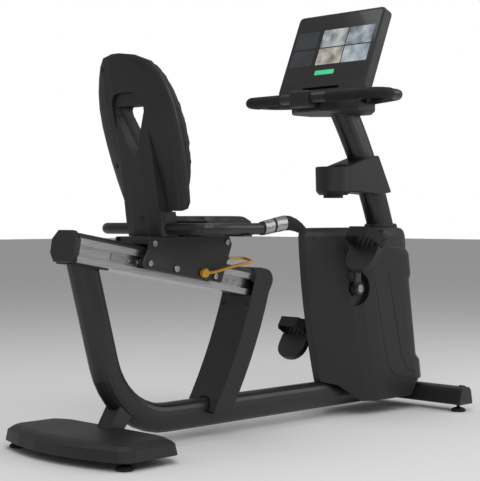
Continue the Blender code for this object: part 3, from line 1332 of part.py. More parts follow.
def pedal_point(side, forward, across, up):
    """A point from pedal coordinates: toward the toe, outward, and off the tread."""
    toe = Vector((cos(PEDAL_TILT), 0, sin(PEDAL_TILT)))
    tread = Vector((-sin(PEDAL_TILT), 0, cos(PEDAL_TILT)))
    return pedal_spot(side) + toe * forward + tread * up + Vector((0, side * across, 0))


def pedal_prism(name, side, outline, low, high, at, finish="black_plastic"):
    """A slab whose outline lies in the tread's plane."""
    rings = [[pedal_point(side, p, y, n) for p, y in outline] for n in (low, high)]
    return solid(name, rings, finish, at)


def pedal(side, name):
    """Weighted pedal with a round heel, lengthwise slots and a bore for its axle."""
    half, heel, toe = PEDAL_WIDTH / 2, PEDAL_HEEL, PEDAL_TOE
    t = PEDAL_THICKNESS / 2
    notch, waist = STRAP_AHEAD - STRAP_WIDTH / 2 - 0.0022, half - 0.0040
    corners = [(toe, -waist), (toe, waist), (notch, waist), (notch, half), (-heel, half), (-heel, -half),
               (notch, -half), (notch, -waist)]
    outline = rounded_outline(corners, [0.010, 0.010, 0.0, 0.0, half * 0.86, half * 0.86, 0.0, 0.0], radians(18.0))
    at = pedal_spot(side)
    body = pedal_prism(name, side, outline, -t, t, at)
    soften(body, 0.0015, 1)
    axle_start = pedal_point(side, 0, -half - 0.02, 0)
    bore = rod(f"{name}_bore", 0.006 + GAP, axle_start, pedal_point(side, 0, PEDAL_WIDTH * 0.38 + RUNNING_GAP, 0),
               "steel", sides=16)
    carve(body, bore)
    for i in range(5):
        across = (i - 2) * 0.020
        groove = [(-0.026, across - 0.004), (toe - 0.006, across - 0.004), (toe - 0.006, across + 0.004),
                  (-0.026, across + 0.004)]
        carve(body, pedal_prism(f"{name}_groove_{i}", side, groove, 0.0078, 0.02, at))
    return body


def pedal_strap(side, name):
    """Angular strap that arches over the foot near the pedal's toe."""
    half, wall = PEDAL_WIDTH / 2, 0.0035
    foot, rise = -PEDAL_THICKNESS / 2 + 0.003, PEDAL_THICKNESS / 2 + STRAP_HEIGHT
    def arch(inset, bottom):
        w, top = half - inset, rise - inset
        return [(w, bottom), (w, top - 0.026), (w - 0.020, top), (-w + 0.020, top), (-w, top - 0.026), (-w, bottom)]
    outer, inner = arch(0.0, foot), arch(wall, foot)
    profile = outer + list(reversed(inner))
    low, high = STRAP_AHEAD - STRAP_WIDTH / 2, STRAP_AHEAD + STRAP_WIDTH / 2
    rings = [[pedal_point(side, p, y, n) for y, n in profile] for p in (low, high)]
    strap = solid(name, rings, "black_rubber", pedal_spot(side))
    room = rod(f"{name}_axle_room", 0.0075, pedal_point(side, 0, -half - 0.01, 0), pedal_point(side, 0, -half + 0.01, 0),
               "steel", sides=16)
    return carve(strap, room)


# ------------------------------------------------------------------ console

TRAY_BOTTOM = 1.008
TRAY_TOP = 1.050
TRAY_REAR = 0.962
TRAY_FRONT = 1.238
TRAY_HALF = 0.145

display_up = Vector((sin(DISPLAY_LEAN), 0, cos(DISPLAY_LEAN)))
display_back = Vector((cos(DISPLAY_LEAN), 0, -sin(DISPLAY_LEAN)))


def on_display(across, up, back):
    """A point from the display's lower front edge."""
    foot = Vector((FRONT_GROUP + DISPLAY_FOOT_X, 0, DISPLAY_FOOT_Z))
    return foot + up * display_up + back * display_back + Vector((0, across, 0))


def display_slab(name, half, low, high, near, far, corner, finish, edge=0.0):
    outline = rounded_outline([(-half, low), (half, low), (half, high), (-half, high)], corner, radians(30.0))
    rings = [[on_display(y, w, back) for y, w in outline] for back in (near, far)]
    obj = solid(name, rings, finish)
    if edge:
        soften(obj, edge, 2)
    return obj


SCREEN_INSET = 0.012
GLASS_THICKNESS = 0.003

def display_housing():
    half = DISPLAY_WIDTH / 2
    housing = display_slab("display_housing", half, 0.0, DISPLAY_HEIGHT, 0.0, DISPLAY_DEPTH, 0.016, "black_plastic", 0.004)
    recess = display_slab("glass_recess", half - 0.008, 0.042, DISPLAY_HEIGHT - 0.008, -0.01, GLASS_THICKNESS + GAP,
                          0.010, "steel")
    ledge = display_slab("ledge_slot", 0.080, 0.014, 0.024, -0.01, 0.012, 0.003, "steel")
    return carve(weld(housing, display_neck()), recess, ledge)


def display_glass():
    half = DISPLAY_WIDTH / 2
    return display_slab("display_glass", half - 0.008 - GAP, 0.042 + GAP, DISPLAY_HEIGHT - 0.008 - GAP, 0.0,
                        GLASS_THICKNESS, 0.010, "screen_glass")


def display_neck():
    """Neck between the tray and the back of the display."""
    low = TRAY_TOP + GAP
    a, b = on_display(0, 0.030, DISPLAY_DEPTH - 0.004), on_display(0, 0.190, DISPLAY_DEPTH - 0.004)
    c, d = on_display(0, 0.190, DISPLAY_DEPTH + 0.022), on_display(0, 0.060, DISPLAY_DEPTH + 0.060)
    foot = FRONT_GROUP + 1.205
    outline = [(a.x, a.z), (b.x, b.z), (c.x, c.z), (d.x, d.z), (foot, TRAY_TOP + 0.020), (foot, low), (a.x - 0.004, low)]
    return prism("display_neck", outline, "Y", -0.062, 0.062, "black_plastic", edge=0.003, steps=1)


def console_bar_path(longer=0.0):
    """Centre line of the handlebar, which loops out to each side."""
    x, z, reach = FRONT_GROUP, CONSOLE_BAR_Z, CONSOLE_BAR_HALF_WIDTH
    right = [(x + 1.165 + 0.3 * longer, -0.100 + longer, z), (x + 1.112, -reach + 0.020, z + 0.004), (x + 0.984, -reach + 0.004, z + 0.004),
             (x + 0.955, -0.045, z)]
    left = [(px, -py, pz) for px, py, pz in reversed(right)]
    return rounded_path(right + left, [0.052, 0.052, 0.060, 0.060, 0.052, 0.052], radians(22.5))


def console_handlebar():
    return sweep("console_handlebar", console_bar_path(), round_section(CONSOLE_BAR_RADIUS, 14), (0, 0, 1), "black_paint")


def console_tray():
    """Tray on the mast's head, which clamps the handlebar."""
    x = FRONT_GROUP
    outline = [(x + TRAY_REAR + 0.02, -0.052), (x + 1.010, -0.100), (x + 1.060, -TRAY_HALF), (x + 1.150, -TRAY_HALF),
               (x + TRAY_FRONT, -0.060), (x + TRAY_FRONT, 0.060), (x + 1.150, TRAY_HALF), (x + 1.060, TRAY_HALF),
               (x + 1.010, 0.100), (x + TRAY_REAR + 0.02, 0.052)]
    tray = prism("console_tray", rounded_outline(outline, 0.014, radians(30.0)), "Z", TRAY_BOTTOM, TRAY_TOP,
                 "black_plastic", edge=0.006, steps=2)
    hub = block("bar_hub", (x + TRAY_REAR - 0.034, -0.040, TRAY_BOTTOM + 0.012), (x + 1.06, 0.040, TRAY_TOP + 0.024),
                "black_plastic", edge=0.008, steps=2)
    bar = sweep("bar_room", console_bar_path(0.001), round_section(CONSOLE_BAR_RADIUS + GAP, 14), (0, 0, 1), "steel")
    display_room = display_slab("display_room", DISPLAY_WIDTH / 2 + 0.02, -0.012, 0.2, -0.012, 0.08, 0.01, "steel")
    return carve(weld(tray, hub), bar, display_room)


def bottle_holder():
    """Cup with an arm whose cheeks clasp the mast."""
    x = FRONT_GROUP
    rim, base = 0.831, 0.831 - CUP_DEPTH - 0.014
    centre = Vector((x + CUP_X, 0, 0))
    outer = CUP_RADIUS + CUP_WALL
    cup = turned("bottle_holder", [(outer - 0.012, base), (outer - 0.002, base + 0.012), (outer, rim - 0.003),
                                   (outer - 0.003, rim)], centre, "Z", "black_plastic", at=(0, 0, 0), sides=36)
    boss = rod("cup_boss", 0.033, centre + Vector((0, 0, base - 0.010)), centre + Vector((0, 0, base + 0.005)),
               "black_plastic", sides=24)
    outline = [(x + CUP_X + 0.004, base + 0.012), (x + 1.300, base + 0.004), (x + 1.357, base + 0.012),
               (x + 1.287, 0.874), (x + 1.235, 0.866), (x + CUP_X + 0.004, rim - 0.002)]
    arm = prism("holder_arm", outline, "Y", -0.053, 0.053, "black_plastic", edge=0.004, steps=1)
    hole = rod("cup_hole", CUP_RADIUS, centre + Vector((0, 0, rim - CUP_DEPTH)), centre + Vector((0, 0, rim + 0.05)),
               "steel", sides=36)
    return carve(weld(cup, boss, arm), hole, mast_form("holder_mast_room", GAP, "steel", 0.1, 0.9))


# ------------------------------------------------------------------- build

for old in list(bpy.data.objects):
    bpy.data.objects.remove(old, do_unlink=True)

main_frame()
rear_stabilizer()
rear_stabilizer_cover()
levelling_foot("rear_foot_right", REAR_FEET_X, -REAR_FOOT_Y, STABILIZER_TOP - 0.022)
levelling_foot("rear_foot_left", REAR_FEET_X, REAR_FOOT_Y, STABILIZER_TOP - 0.022)
levelling_foot("front_foot_right", FRONT_FEET_X, -FRONT_FOOT_Y, 0.040)
levelling_foot("front_foot_left", FRONT_FEET_X, FRONT_FOOT_Y, 0.040)
front_stabilizer()
front_end_cap(-1, "end_cap_right")
front_end_cap(1, "end_cap_left")
transport_wheel(-1, "transport_wheel_right")
transport_wheel(1, "transport_wheel_left")

seat_post()
seat_post_cover()
seat_post_panel()
seat_rail()
rail_top_cover()
rail_end_cap()
index_rack()

carriage_frame()
carriage_plate(-1, "carriage_plate_right")
carriage_plate(1, "carriage_plate_left")
rear_spot, front_spot = roller_spots()
carriage_roller("roller_rear_right", rear_spot, -1)
carriage_roller("roller_rear_left", rear_spot, 1)
carriage_roller("roller_front_right", front_spot, -1)
carriage_roller("roller_front_left", front_spot, 1)
lock_pin()
adjust_lever()
seat_handlebar()
hand_grip(-1, "hand_grip_right")
hand_grip(1, "hand_grip_left")
seat_column()
back_shell()
back_pad()
seat_pan()
seat_cushion()

drive_frame()
crank_bearing()
crank_axle()
drive_pulley()
drive_belt()
flywheel()
brake_motor()
brake_yoke()
crank_arm(-1, "crank_arm_right")
crank_arm(1, "crank_arm_left")
pedal(-1, "pedal_right")
pedal(1, "pedal_left")
pedal_strap(-1, "pedal_strap_right")
pedal_strap(1, "pedal_strap_left")
shroud_shell(-1, "shroud_right")
shroud_shell(1, "shroud_left")
shroud_nose()
shroud_top()

console_mast()
bottle_holder()
console_tray()
console_handlebar()
display_housing()
display_glass()
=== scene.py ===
import json
import math

import bmesh
import bpy
import numpy as np
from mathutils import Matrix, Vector
from mathutils.bvhtree import BVHTree


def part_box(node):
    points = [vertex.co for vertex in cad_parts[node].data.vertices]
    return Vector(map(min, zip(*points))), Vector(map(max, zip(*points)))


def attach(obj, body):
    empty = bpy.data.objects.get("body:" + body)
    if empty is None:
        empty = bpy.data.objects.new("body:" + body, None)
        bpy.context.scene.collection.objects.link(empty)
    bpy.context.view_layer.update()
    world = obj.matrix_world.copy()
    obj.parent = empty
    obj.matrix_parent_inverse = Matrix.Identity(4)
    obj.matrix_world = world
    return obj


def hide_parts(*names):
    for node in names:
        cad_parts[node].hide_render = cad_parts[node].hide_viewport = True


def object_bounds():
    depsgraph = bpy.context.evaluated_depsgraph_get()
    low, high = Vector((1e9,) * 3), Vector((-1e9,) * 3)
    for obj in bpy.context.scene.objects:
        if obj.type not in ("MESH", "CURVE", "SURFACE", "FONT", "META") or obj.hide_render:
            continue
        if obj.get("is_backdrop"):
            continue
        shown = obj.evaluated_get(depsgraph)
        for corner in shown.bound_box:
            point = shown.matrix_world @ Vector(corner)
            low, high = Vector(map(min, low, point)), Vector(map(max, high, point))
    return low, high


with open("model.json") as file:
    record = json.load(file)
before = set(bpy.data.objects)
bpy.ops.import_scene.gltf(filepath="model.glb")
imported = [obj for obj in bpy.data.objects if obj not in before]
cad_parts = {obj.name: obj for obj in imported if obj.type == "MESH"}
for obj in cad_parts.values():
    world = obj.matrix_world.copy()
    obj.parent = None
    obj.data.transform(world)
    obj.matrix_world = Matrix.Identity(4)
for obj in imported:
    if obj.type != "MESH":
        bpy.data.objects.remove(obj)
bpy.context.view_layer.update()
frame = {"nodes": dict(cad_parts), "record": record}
nodes = frame["nodes"]
print("loaded", len(nodes), "CAD nodes")

sides = ((-1, "R", "right"), (1, "L", "left"))  # the rider's right is at -Y


# small tools

def pickOnly(obj):
    bpy.ops.object.select_all(action="DESELECT")
    obj.select_set(True)
    bpy.context.view_layer.objects.active = obj


def editAll(obj):
    pickOnly(obj)
    bpy.ops.object.mode_set(mode="EDIT")
    bpy.ops.mesh.select_all(action="SELECT")


def editFaces(obj, test):
    pickOnly(obj)
    bpy.ops.object.mode_set(mode="EDIT")
    bpy.ops.mesh.select_mode(type="FACE")
    bpy.ops.mesh.select_all(action="DESELECT")
    form = bmesh.from_edit_mesh(obj.data)
    for face in form.faces:
        face.select = test(face)
    form.select_flush(True)
    bmesh.update_edit_mesh(obj.data)


def leaveEdit():
    bpy.ops.object.mode_set(mode="OBJECT")


def applyAll(obj):
    pickOnly(obj)
    for mod in list(obj.modifiers):
        bpy.ops.object.modifier_apply(modifier=mod.name)


def settle(obj, material, body, angle=35):  # its place goes into the mesh, then it rides
    pickOnly(obj)
    bpy.ops.object.transform_apply(location=True, rotation=True, scale=True)
    bpy.ops.object.shade_smooth_by_angle(angle=math.radians(angle))
    obj.data.materials.clear()
    obj.data.materials.append(material)
    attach(obj, body)


def loneCopy(source, name):  # has its own mesh and rides on nothing yet
    obj = source.copy()
    obj.data = source.data.copy()
    obj.parent = None
    obj.name = name
    for key in list(obj.keys()):
        del obj[key]
    bpy.context.scene.collection.objects.link(obj)
    return obj


def mergedCopy(node, name):
    obj = loneCopy(nodes[node], name)
    editAll(obj)
    bpy.ops.mesh.remove_doubles(threshold=0.00001)
    leaveEdit()
    return obj


def touch(node, start, direction):  # where a line first meets a CAD node, and the way out of it there
    mesh = nodes[node].data
    corners = [corner.co for corner in mesh.vertices]
    tree = BVHTree.FromPolygons(corners, [tuple(face.vertices) for face in mesh.polygons])
    spot, normal, _, _ = tree.ray_cast(Vector(start), Vector(direction))
    if spot is None:
        raise ValueError(f"nothing of {node} in that direction")
    if normal.dot(Vector(direction)) > 0:
        normal.negate()
    return spot, normal


def middle(node):
    low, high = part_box(node)
    return (low + high) / 2


def unit(direction):
    return np.array(direction) / np.linalg.norm(direction)


# shader tools

def grey(value):
    return (value, value, value, 1)


def give(tree, value, socket):  # a plain value, or a link from another node
    if isinstance(value, bpy.types.NodeSocket):
        tree.links.new(value, socket)
    else:
        socket.default_value = value


def mixColours(tree, factor, low, high):
    mix = tree.nodes.new("ShaderNodeMix")
    mix.data_type = "RGBA"
    give(tree, factor, mix.inputs[0])
    give(tree, low, mix.inputs[6])
    give(tree, high, mix.inputs[7])
    return mix.outputs[2]


def mapped(tree, value, low, high, fromLow=0.3, fromHigh=0.7):
    ranged = tree.nodes.new("ShaderNodeMapRange")
    for socket, given in zip(ranged.inputs, (value, fromLow, fromHigh, low, high)):
        give(tree, given, socket)
    return ranged.outputs[0]


def noise(tree, vector, scale, detail=3.0):
    made = tree.nodes.new("ShaderNodeTexNoise")
    made.inputs["Detail"].default_value = detail
    give(tree, vector, made.inputs["Vector"])
    give(tree, scale, made.inputs["Scale"])
    return made.outputs["Fac"]


def newGroup(name, values):  # takes a place on the surface, gives colour, roughness and height
    group = bpy.data.node_groups.new(name, "ShaderNodeTree")
    group.interface.new_socket(name="Vector", in_out="INPUT", socket_type="NodeSocketVector")
    for title, value in values.items():
        kind = "NodeSocketColor" if isinstance(value, tuple) else "NodeSocketFloat"
        group.interface.new_socket(name=title, in_out="INPUT", socket_type=kind).default_value = value
    for title, kind in {"Color": "Color", "Roughness": "Float", "Height": "Float"}.items():
        group.interface.new_socket(name=title, in_out="OUTPUT", socket_type="NodeSocket" + kind)
    given = group.nodes.new("NodeGroupInput").outputs
    out = group.nodes.new("NodeGroupOutput").inputs
    return group, given, out


def mouldGrain():  # fine moulded or sprayed grain, slow patches, and a painted highlight that makes sharp edges paler
    group, given, out = newGroup("mouldGrain", {
        "Dark": grey(0.01), "Pale": grey(0.02), "EdgeHighlight": grey(0.05),
        "Grain": 900.0, "Smooth": 0.4, "Rough": 0.55})
    fine = noise(group, given["Vector"], given["Grain"])
    patches = noise(group, given["Vector"], 9.0)
    shade = mixColours(group, mapped(group, patches, 0.0, 1.0), given["Dark"], given["Pale"])
    shape = group.nodes.new("ShaderNodeNewGeometry")
    # painted highlight: where pointiness is high the pale edge colour is mixed in, so sharp edges look lit
    edge = mapped(group, shape.outputs["Pointiness"], 0.0, 0.6, 0.53, 0.60)
    give(group, mixColours(group, edge, shade, given["EdgeHighlight"]), out["Color"])
    give(group, mapped(group, patches, given["Smooth"], given["Rough"]), out["Roughness"])
    give(group, fine, out["Height"])
    return group


def hideGrain():  # pebbled vinyl
    group, given, out = newGroup("hideGrain", {"Dark": grey(0.01), "Pale": grey(0.02), "Pebble": 700.0})
    cells = group.nodes.new("ShaderNodeTexVoronoi")
    give(group, given["Vector"], cells.inputs["Vector"])
    give(group, given["Pebble"], cells.inputs["Scale"])
    pebbles = cells.outputs["Distance"]
    slow = noise(group, given["Vector"], 14.0)
    give(group, mixColours(group, pebbles, given["Pale"], given["Dark"]), out["Color"])
    give(group, mapped(group, slow, 0.44, 0.58), out["Roughness"])
    give(group, pebbles, out["Height"])
    return group


def drawnLines():  # marks that run along the metal
    group, given, out = newGroup("drawnLines", {
        "Dark": grey(0.3), "Pale": grey(0.6), "Smooth": 0.25, "Rough": 0.42})
    marks = noise(group, given["Vector"], 60.0, 5.0)
    give(group, mixColours(group, mapped(group, marks, 0.0, 1.0), given["Dark"], given["Pale"]), out["Color"])
    give(group, mapped(group, marks, given["Smooth"], given["Rough"]), out["Roughness"])
    give(group, marks, out["Height"])
    return group


mould, hide, drawn = mouldGrain(), hideGrain(), drawnLines()
grainHeight = 0.0003


def finish(name, group, bump, values, metal=0.0, coat=0.0, specular=0.5, stretch=None, turn=(0, 0, 0)):
    made = bpy.data.materials.new(name)
    made.use_nodes = True
    tree = made.node_tree
    shader = tree.nodes["Principled BSDF"]
    vector = tree.nodes.new("ShaderNodeTexCoord").outputs["Object"]
    if stretch:
        mapping = tree.nodes.new("ShaderNodeMapping")
        mapping.inputs["Rotation"].default_value = turn
        mapping.inputs["Scale"].default_value = stretch
        give(tree, vector, mapping.inputs["Vector"])
        vector = mapping.outputs["Vector"]
    surface = tree.nodes.new("ShaderNodeGroup")
    surface.node_tree = group
    give(tree, vector, surface.inputs["Vector"])
    for title, value in values.items():
        surface.inputs[title].default_value = value
    raised = tree.nodes.new("ShaderNodeBump")
    raised.inputs["Strength"].default_value = bump
    raised.inputs["Distance"].default_value = grainHeight
    give(tree, surface.outputs["Height"], raised.inputs["Height"])
    give(tree, raised.outputs["Normal"], shader.inputs["Normal"])
    give(tree, surface.outputs["Color"], shader.inputs["Base Color"])
    give(tree, surface.outputs["Roughness"], shader.inputs["Roughness"])
    shader.inputs["Metallic"].default_value = metal
    shader.inputs["Coat Weight"].default_value = coat
    shader.inputs["Specular IOR Level"].default_value = specular
    return made


railTilt = (0, math.radians(-10), 0)  # the rail falls towards the front, and its drawn marks with it
# the pale edge colour given to each finish below is a painted highlight on its sharp edges
finishes = {
    "black_plastic": finish("mouldedPlastic", mould, 0.35, {
        "Dark": grey(0.011), "Pale": grey(0.015), "EdgeHighlight": grey(0.03),
        "Grain": 1100.0, "Smooth": 0.42, "Rough": 0.52}),
    "black_paint": finish("powderPaint", mould, 0.25, {
        "Dark": grey(0.008), "Pale": grey(0.012), "EdgeHighlight": grey(0.03),
        "Grain": 1500.0, "Smooth": 0.34, "Rough": 0.44},
        coat=0.1),
    "black_rubber": finish("softRubber", mould, 0.5, {
        "Dark": grey(0.009), "Pale": grey(0.014), "EdgeHighlight": grey(0.02),
        "Grain": 700.0, "Smooth": 0.62, "Rough": 0.78},
        specular=0.3),
    "black_vinyl": finish("seatVinyl", hide, 0.45, {
        "Dark": grey(0.008), "Pale": grey(0.014), "Pebble": 650.0}),
    "aluminium": finish("drawnAluminium", drawn, 0.2, {
        "Dark": (0.42, 0.42, 0.43, 1), "Pale": (0.60, 0.60, 0.61, 1), "Smooth": 0.26, "Rough": 0.40},
        metal=1.0, stretch=(0.25, 12, 12), turn=railTilt),
    "steel": finish("brushedSteel", drawn, 0.2, {
        "Dark": (0.32, 0.32, 0.33, 1), "Pale": (0.50, 0.50, 0.51, 1), "Smooth": 0.25, "Rough": 0.40},
        metal=1.0, stretch=(2, 14, 14)),
    "cast_iron": finish("castIron", mould, 0.6, {
        "Dark": grey(0.07), "Pale": grey(0.12), "EdgeHighlight": grey(0.25),
        "Grain": 400.0, "Smooth": 0.45, "Rough": 0.65},
        metal=1.0),
    "orange_plastic": finish("leverCoating", mould, 0.15, {
        "Dark": (0.62, 0.29, 0.010, 1), "Pale": (0.68, 0.33, 0.014, 1), "EdgeHighlight": (0.75, 0.42, 0.05, 1),
        "Grain": 900.0, "Smooth": 0.30, "Rough": 0.42}, coat=0.3),
    "screen_glass": finish("screenGlass", mould, 0.0, {
        "Dark": grey(0.012), "Pale": grey(0.014), "EdgeHighlight": grey(0.014),
        "Grain": 300.0, "Smooth": 0.10, "Rough": 0.16},
        coat=0.5),
}
for part in frame["record"]["subparts"]:
    mesh = nodes[part["node"]].data
    mesh.materials.clear()
    mesh.materials.append(finishes[part["material_slot"]])


# cushions, puffed as cloth over their CAD form

def inflate(pad, rest, cushion):  # cloth under pressure, no point moving further than the cap
    cloth = pad.modifiers.new("cloth", "CLOTH")
    cloth.settings.use_pressure = True
    cloth.settings.uniform_pressure_force = cushion["pressure"]
    cloth.settings.effector_weights.gravity = 0
    cloth.settings.vertex_group_mass = "held"
    for step in range(1, 21):
        bpy.context.scene.frame_set(step)
    soft = pad.evaluated_get(bpy.context.evaluated_depsgraph_get())
    moved = np.array([v.co for v in soft.data.vertices]) - rest
    length = np.linalg.norm(moved, axis=1, keepdims=True)
    moved *= np.minimum(1.0, cushion["cap"] / np.maximum(length, 1e-9))
    pad.modifiers.remove(cloth)
    pad.data.vertices.foreach_set("co", (rest + moved).ravel())
    bpy.context.scene.frame_set(1)
    print(cushion["name"], "moved up to", round(float(length.max()) * 1000, 1), "mm before its cap")


def puff(cushion):
    pad = mergedCopy(cushion["node"], cushion["name"])
    even = pad.modifiers.new("even", "REMESH")
    even.mode = "VOXEL"
    even.voxel_size = cushion["voxel"]
    applyAll(pad)
    editAll(pad)
    bpy.ops.transform.shrink_fatten(value=-cushion["smaller"])
    leaveEdit()
    rest = np.array([v.co for v in pad.data.vertices])
    depth = rest @ unit(cushion["outward"])
    held = pad.vertex_groups.new(name="held")
    for i in np.where(depth < depth.min() + cushion["backing"])[0]:
        held.add([int(i)], 1.0, "REPLACE")
    inflate(pad, rest, cushion)
    smooth = pad.modifiers.new("smooth", "SMOOTH")
    smooth.factor = 0.5
    smooth.iterations = 4
    finer = pad.modifiers.new("finer", "SUBSURF")
    finer.levels = 1
    finer.render_levels = 1
    applyAll(pad)
    settle(pad, finishes["black_vinyl"], "carriage", 60)
    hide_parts(cushion["node"])
    return pad


def welt(pad, cushion):  # sewn piping round a cushion, at a share of its height
    outward = unit(cushion["outward"])
    depth = np.array([v.co for v in pad.data.vertices]) @ outward
    level = depth.min() + (depth.max() - depth.min()) * cushion["weltAt"]
    line = loneCopy(pad, cushion["name"] + "Welt")
    pickOnly(line)
    bpy.ops.object.mode_set(mode="EDIT")
    bpy.ops.mesh.select_mode(type="EDGE")
    bpy.ops.mesh.select_all(action="SELECT")
    bpy.ops.mesh.bisect(plane_co=tuple(outward * level), plane_no=tuple(outward))
    bpy.ops.mesh.select_all(action="INVERT")
    bpy.ops.mesh.delete(type="EDGE")
    leaveEdit()
    bpy.ops.object.convert(target="CURVE")
    line = bpy.context.view_layer.objects.active
    line.data.bevel_depth = cushion["weltRadius"]
    line.data.bevel_resolution = 2
    bpy.ops.object.convert(target="MESH")
    settle(line, finishes["black_vinyl"], "carriage", 60)


seatCushion = {"node": "seat_cushion", "name": "seatCushion", "voxel": 0.005, "smaller": 0.003,
               "outward": (0, 0, 1), "backing": 0.006, "pressure": 4.0, "cap": 0.009, "fill": 0.7,
               "weltAt": 0.62, "weltRadius": 0.0018}
backCushion = {"node": "back_pad", "name": "backCushion", "voxel": 0.005, "smaller": 0.003,
               "outward": (0.959, 0, 0.283), "backing": 0.012, "pressure": 4.0, "cap": 0.007, "fill": 0.7}
welt(puff(seatCushion), seatCushion)
puff(backCushion)
print("cushions made")


# screws, bolts, nuts and caps

screwForm = {"sides": 28, "middleUp": 0.42, "rim": 0.18, "slope": 0.34, "recess": 0.45, "edge": 0.09}  # shares


def screwHead(name, spot, normal, size, body):
    radius, high, slot = size["radius"], size["high"], size["slot"]
    normal = Vector(normal)
    bpy.ops.object.select_all(action="DESELECT")
    bpy.ops.mesh.primitive_cylinder_add(
        vertices=screwForm["sides"], radius=radius, depth=high,
        location=Vector(spot) + normal * high * screwForm["middleUp"],
        rotation=normal.to_track_quat("Z", "Y").to_euler())
    head = bpy.context.view_layer.objects.active
    head.name = name
    editFaces(head, lambda face: face.normal.z > 0.9)
    bpy.ops.mesh.inset(thickness=radius * screwForm["rim"])
    bpy.ops.mesh.inset(thickness=radius * screwForm["slope"])
    sunk = tuple(-normal * high * screwForm["recess"])
    bpy.ops.mesh.extrude_region_move(TRANSFORM_OT_translate={"value": sunk})
    leaveEdit()
    bevel = head.modifiers.new("edge", "BEVEL")
    bevel.width = radius * screwForm["edge"]
    bevel.segments = 2
    bevel.limit_method = "ANGLE"
    applyAll(head)
    settle(head, finishes[slot], body)


fromBehind, farBehind, farAside = (1, 0, 0), -0.9, 0.5  # looking along +X, and where the lines start
backScrews = {"radius": 0.0075, "high": 0.003, "slot": "black_plastic",
              "places": [(0.086, 1.086), (0.119, 0.8135)]}
for side, tag, _ in sides:
    for i, (y, z) in enumerate(backScrews["places"]):
        spot, normal = touch("back_shell", (farBehind, side * y, z), fromBehind)
        screwHead(f"backScrew{i}{tag}", spot, normal, backScrews, "carriage")

columnScrew = {"radius": 0.0075, "high": 0.003, "slot": "black_plastic", "z": 0.6586}
spot, normal = touch("seat_column", (farBehind, 0, columnScrew["z"]), fromBehind)
screwHead("columnScrew", spot, normal, columnScrew, "carriage")

plateBolts = {"radius": 0.0085, "high": 0.004, "slot": "steel",
              "places": [(-0.4694, 0.588), (-0.1814, 0.588)]}
for side, tag, word in sides:
    for i, (x, z) in enumerate(plateBolts["places"]):
        spot, normal = touch("carriage_plate_" + word, (x, side * farAside, z), (0, -side, 0))
        screwHead(f"plateBolt{i}{tag}", spot, normal, plateBolts, "carriage")

axleNuts = {"radius": 0.0085, "high": 0.004, "slot": "steel", "outFace": 0.0762}
for i, row in enumerate(("rear", "front")):
    for j, (side, tag, word) in enumerate(sides):
        axis = middle(f"roller_{row}_{word}")
        spot = (axis.x, side * axleNuts["outFace"], axis.z)
        screwHead(f"axleNut{i}{tag}", spot, (0, side, 0), axleNuts, f"roller_{2 * i + j + 1}")

panelScrews = {"radius": 0.0055, "high": 0.0025, "slot": "black_plastic",
               "places": [(0.050, 0.110), (0.050, 0.395)]}
for side, tag, _ in sides:
    for i, (y, z) in enumerate(panelScrews["places"]):
        spot, normal = touch("seat_post_panel", (farBehind, side * y, z), fromBehind)
        screwHead(f"panelScrew{i}{tag}", spot, normal, panelScrews, "frame")

shroudScrew = {"radius": 0.006, "high": 0.0025, "slot": "black_plastic", "x": 0.2554, "z": 0.596}
spot, normal = touch("shroud_top", (shroudScrew["x"], -farAside, shroudScrew["z"]), (0, 1, 0))
screwHead("shroudScrewR", spot, normal, shroudScrew, "frame")

crankCap = {"radius": 0.0125, "high": 0.004, "slot": "steel", "gap": 0.0001}
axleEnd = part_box("crank_axle")[1].y + crankCap["gap"]
for side, tag, _ in sides:
    axle = middle("crank_axle")
    screwHead("crankCap" + tag, (axle.x, side * axleEnd, axle.z), (0, side, 0), crankCap, "crank")
print("screws made")


# shroud seams, laid on the side shells

shroudSeams = {
    "radius": 0.0009, "steps": 6,
    "rear": [(0.4686, 0.460), (0.4956, 0.352), (0.5226, 0.232), (0.5446, 0.163), (0.5776, 0.126),
             (0.6896, 0.106)],
    "front": [(0.5436, 0.4845), (0.5716, 0.365), (0.5996, 0.261), (0.6161, 0.190), (0.6441, 0.1446),
              (0.7126, 0.1215)],
}


def seam(name, points, side, word):
    places = []
    for (x1, z1), (x2, z2) in zip(points, points[1:]):
        for step in range(shroudSeams["steps"]):
            share = step / shroudSeams["steps"]
            start = (x1 + (x2 - x1) * share, side * farAside, z1 + (z2 - z1) * share)
            places.append(touch("shroud_" + word, start, (0, -side, 0))[0])
    bpy.ops.object.select_all(action="DESELECT")
    bpy.ops.curve.primitive_bezier_curve_add()
    line = bpy.context.view_layer.objects.active
    line.name = name
    line.data.splines.clear()
    path = line.data.splines.new("POLY")
    path.points.add(len(places) - 1)
    for point, place in zip(path.points, places):
        point.co = (*place, 1)
    line.data.bevel_depth = shroudSeams["radius"]
    line.data.bevel_resolution = 1
    line.data.use_fill_caps = True
    bpy.ops.object.convert(target="MESH")
    settle(line, finishes["black_rubber"], "frame", 60)


for row in ("rear", "front"):
    for side, tag, word in sides:
        seam(row + "Seam" + tag, shroudSeams[row], side, word)
print("seams made")


# bar sleeves and hand sensors, grown from the CAD surface

def skin(node, name, cuts, style, body):  # each cut keeps what lies beyond its plane
    piece = mergedCopy(node, name)
    editAll(piece)
    for place, normal in cuts:
        bpy.ops.mesh.select_all(action="SELECT")
        bpy.ops.mesh.bisect(plane_co=place, plane_no=normal, clear_inner=True)
    if not bmesh.from_edit_mesh(piece.data).faces:
        raise ValueError(f"nothing of {node} is left for {name}")
    bpy.ops.mesh.select_all(action="SELECT")
    bpy.ops.transform.shrink_fatten(value=style["grow"])
    leaveEdit()
    wall = piece.modifiers.new("wall", "SOLIDIFY")
    wall.thickness = style["grow"] * 0.8  # its inner face stays clear of the CAD surface
    wall.offset = -1
    applyAll(piece)
    settle(piece, finishes[style["slot"]], body, 40)


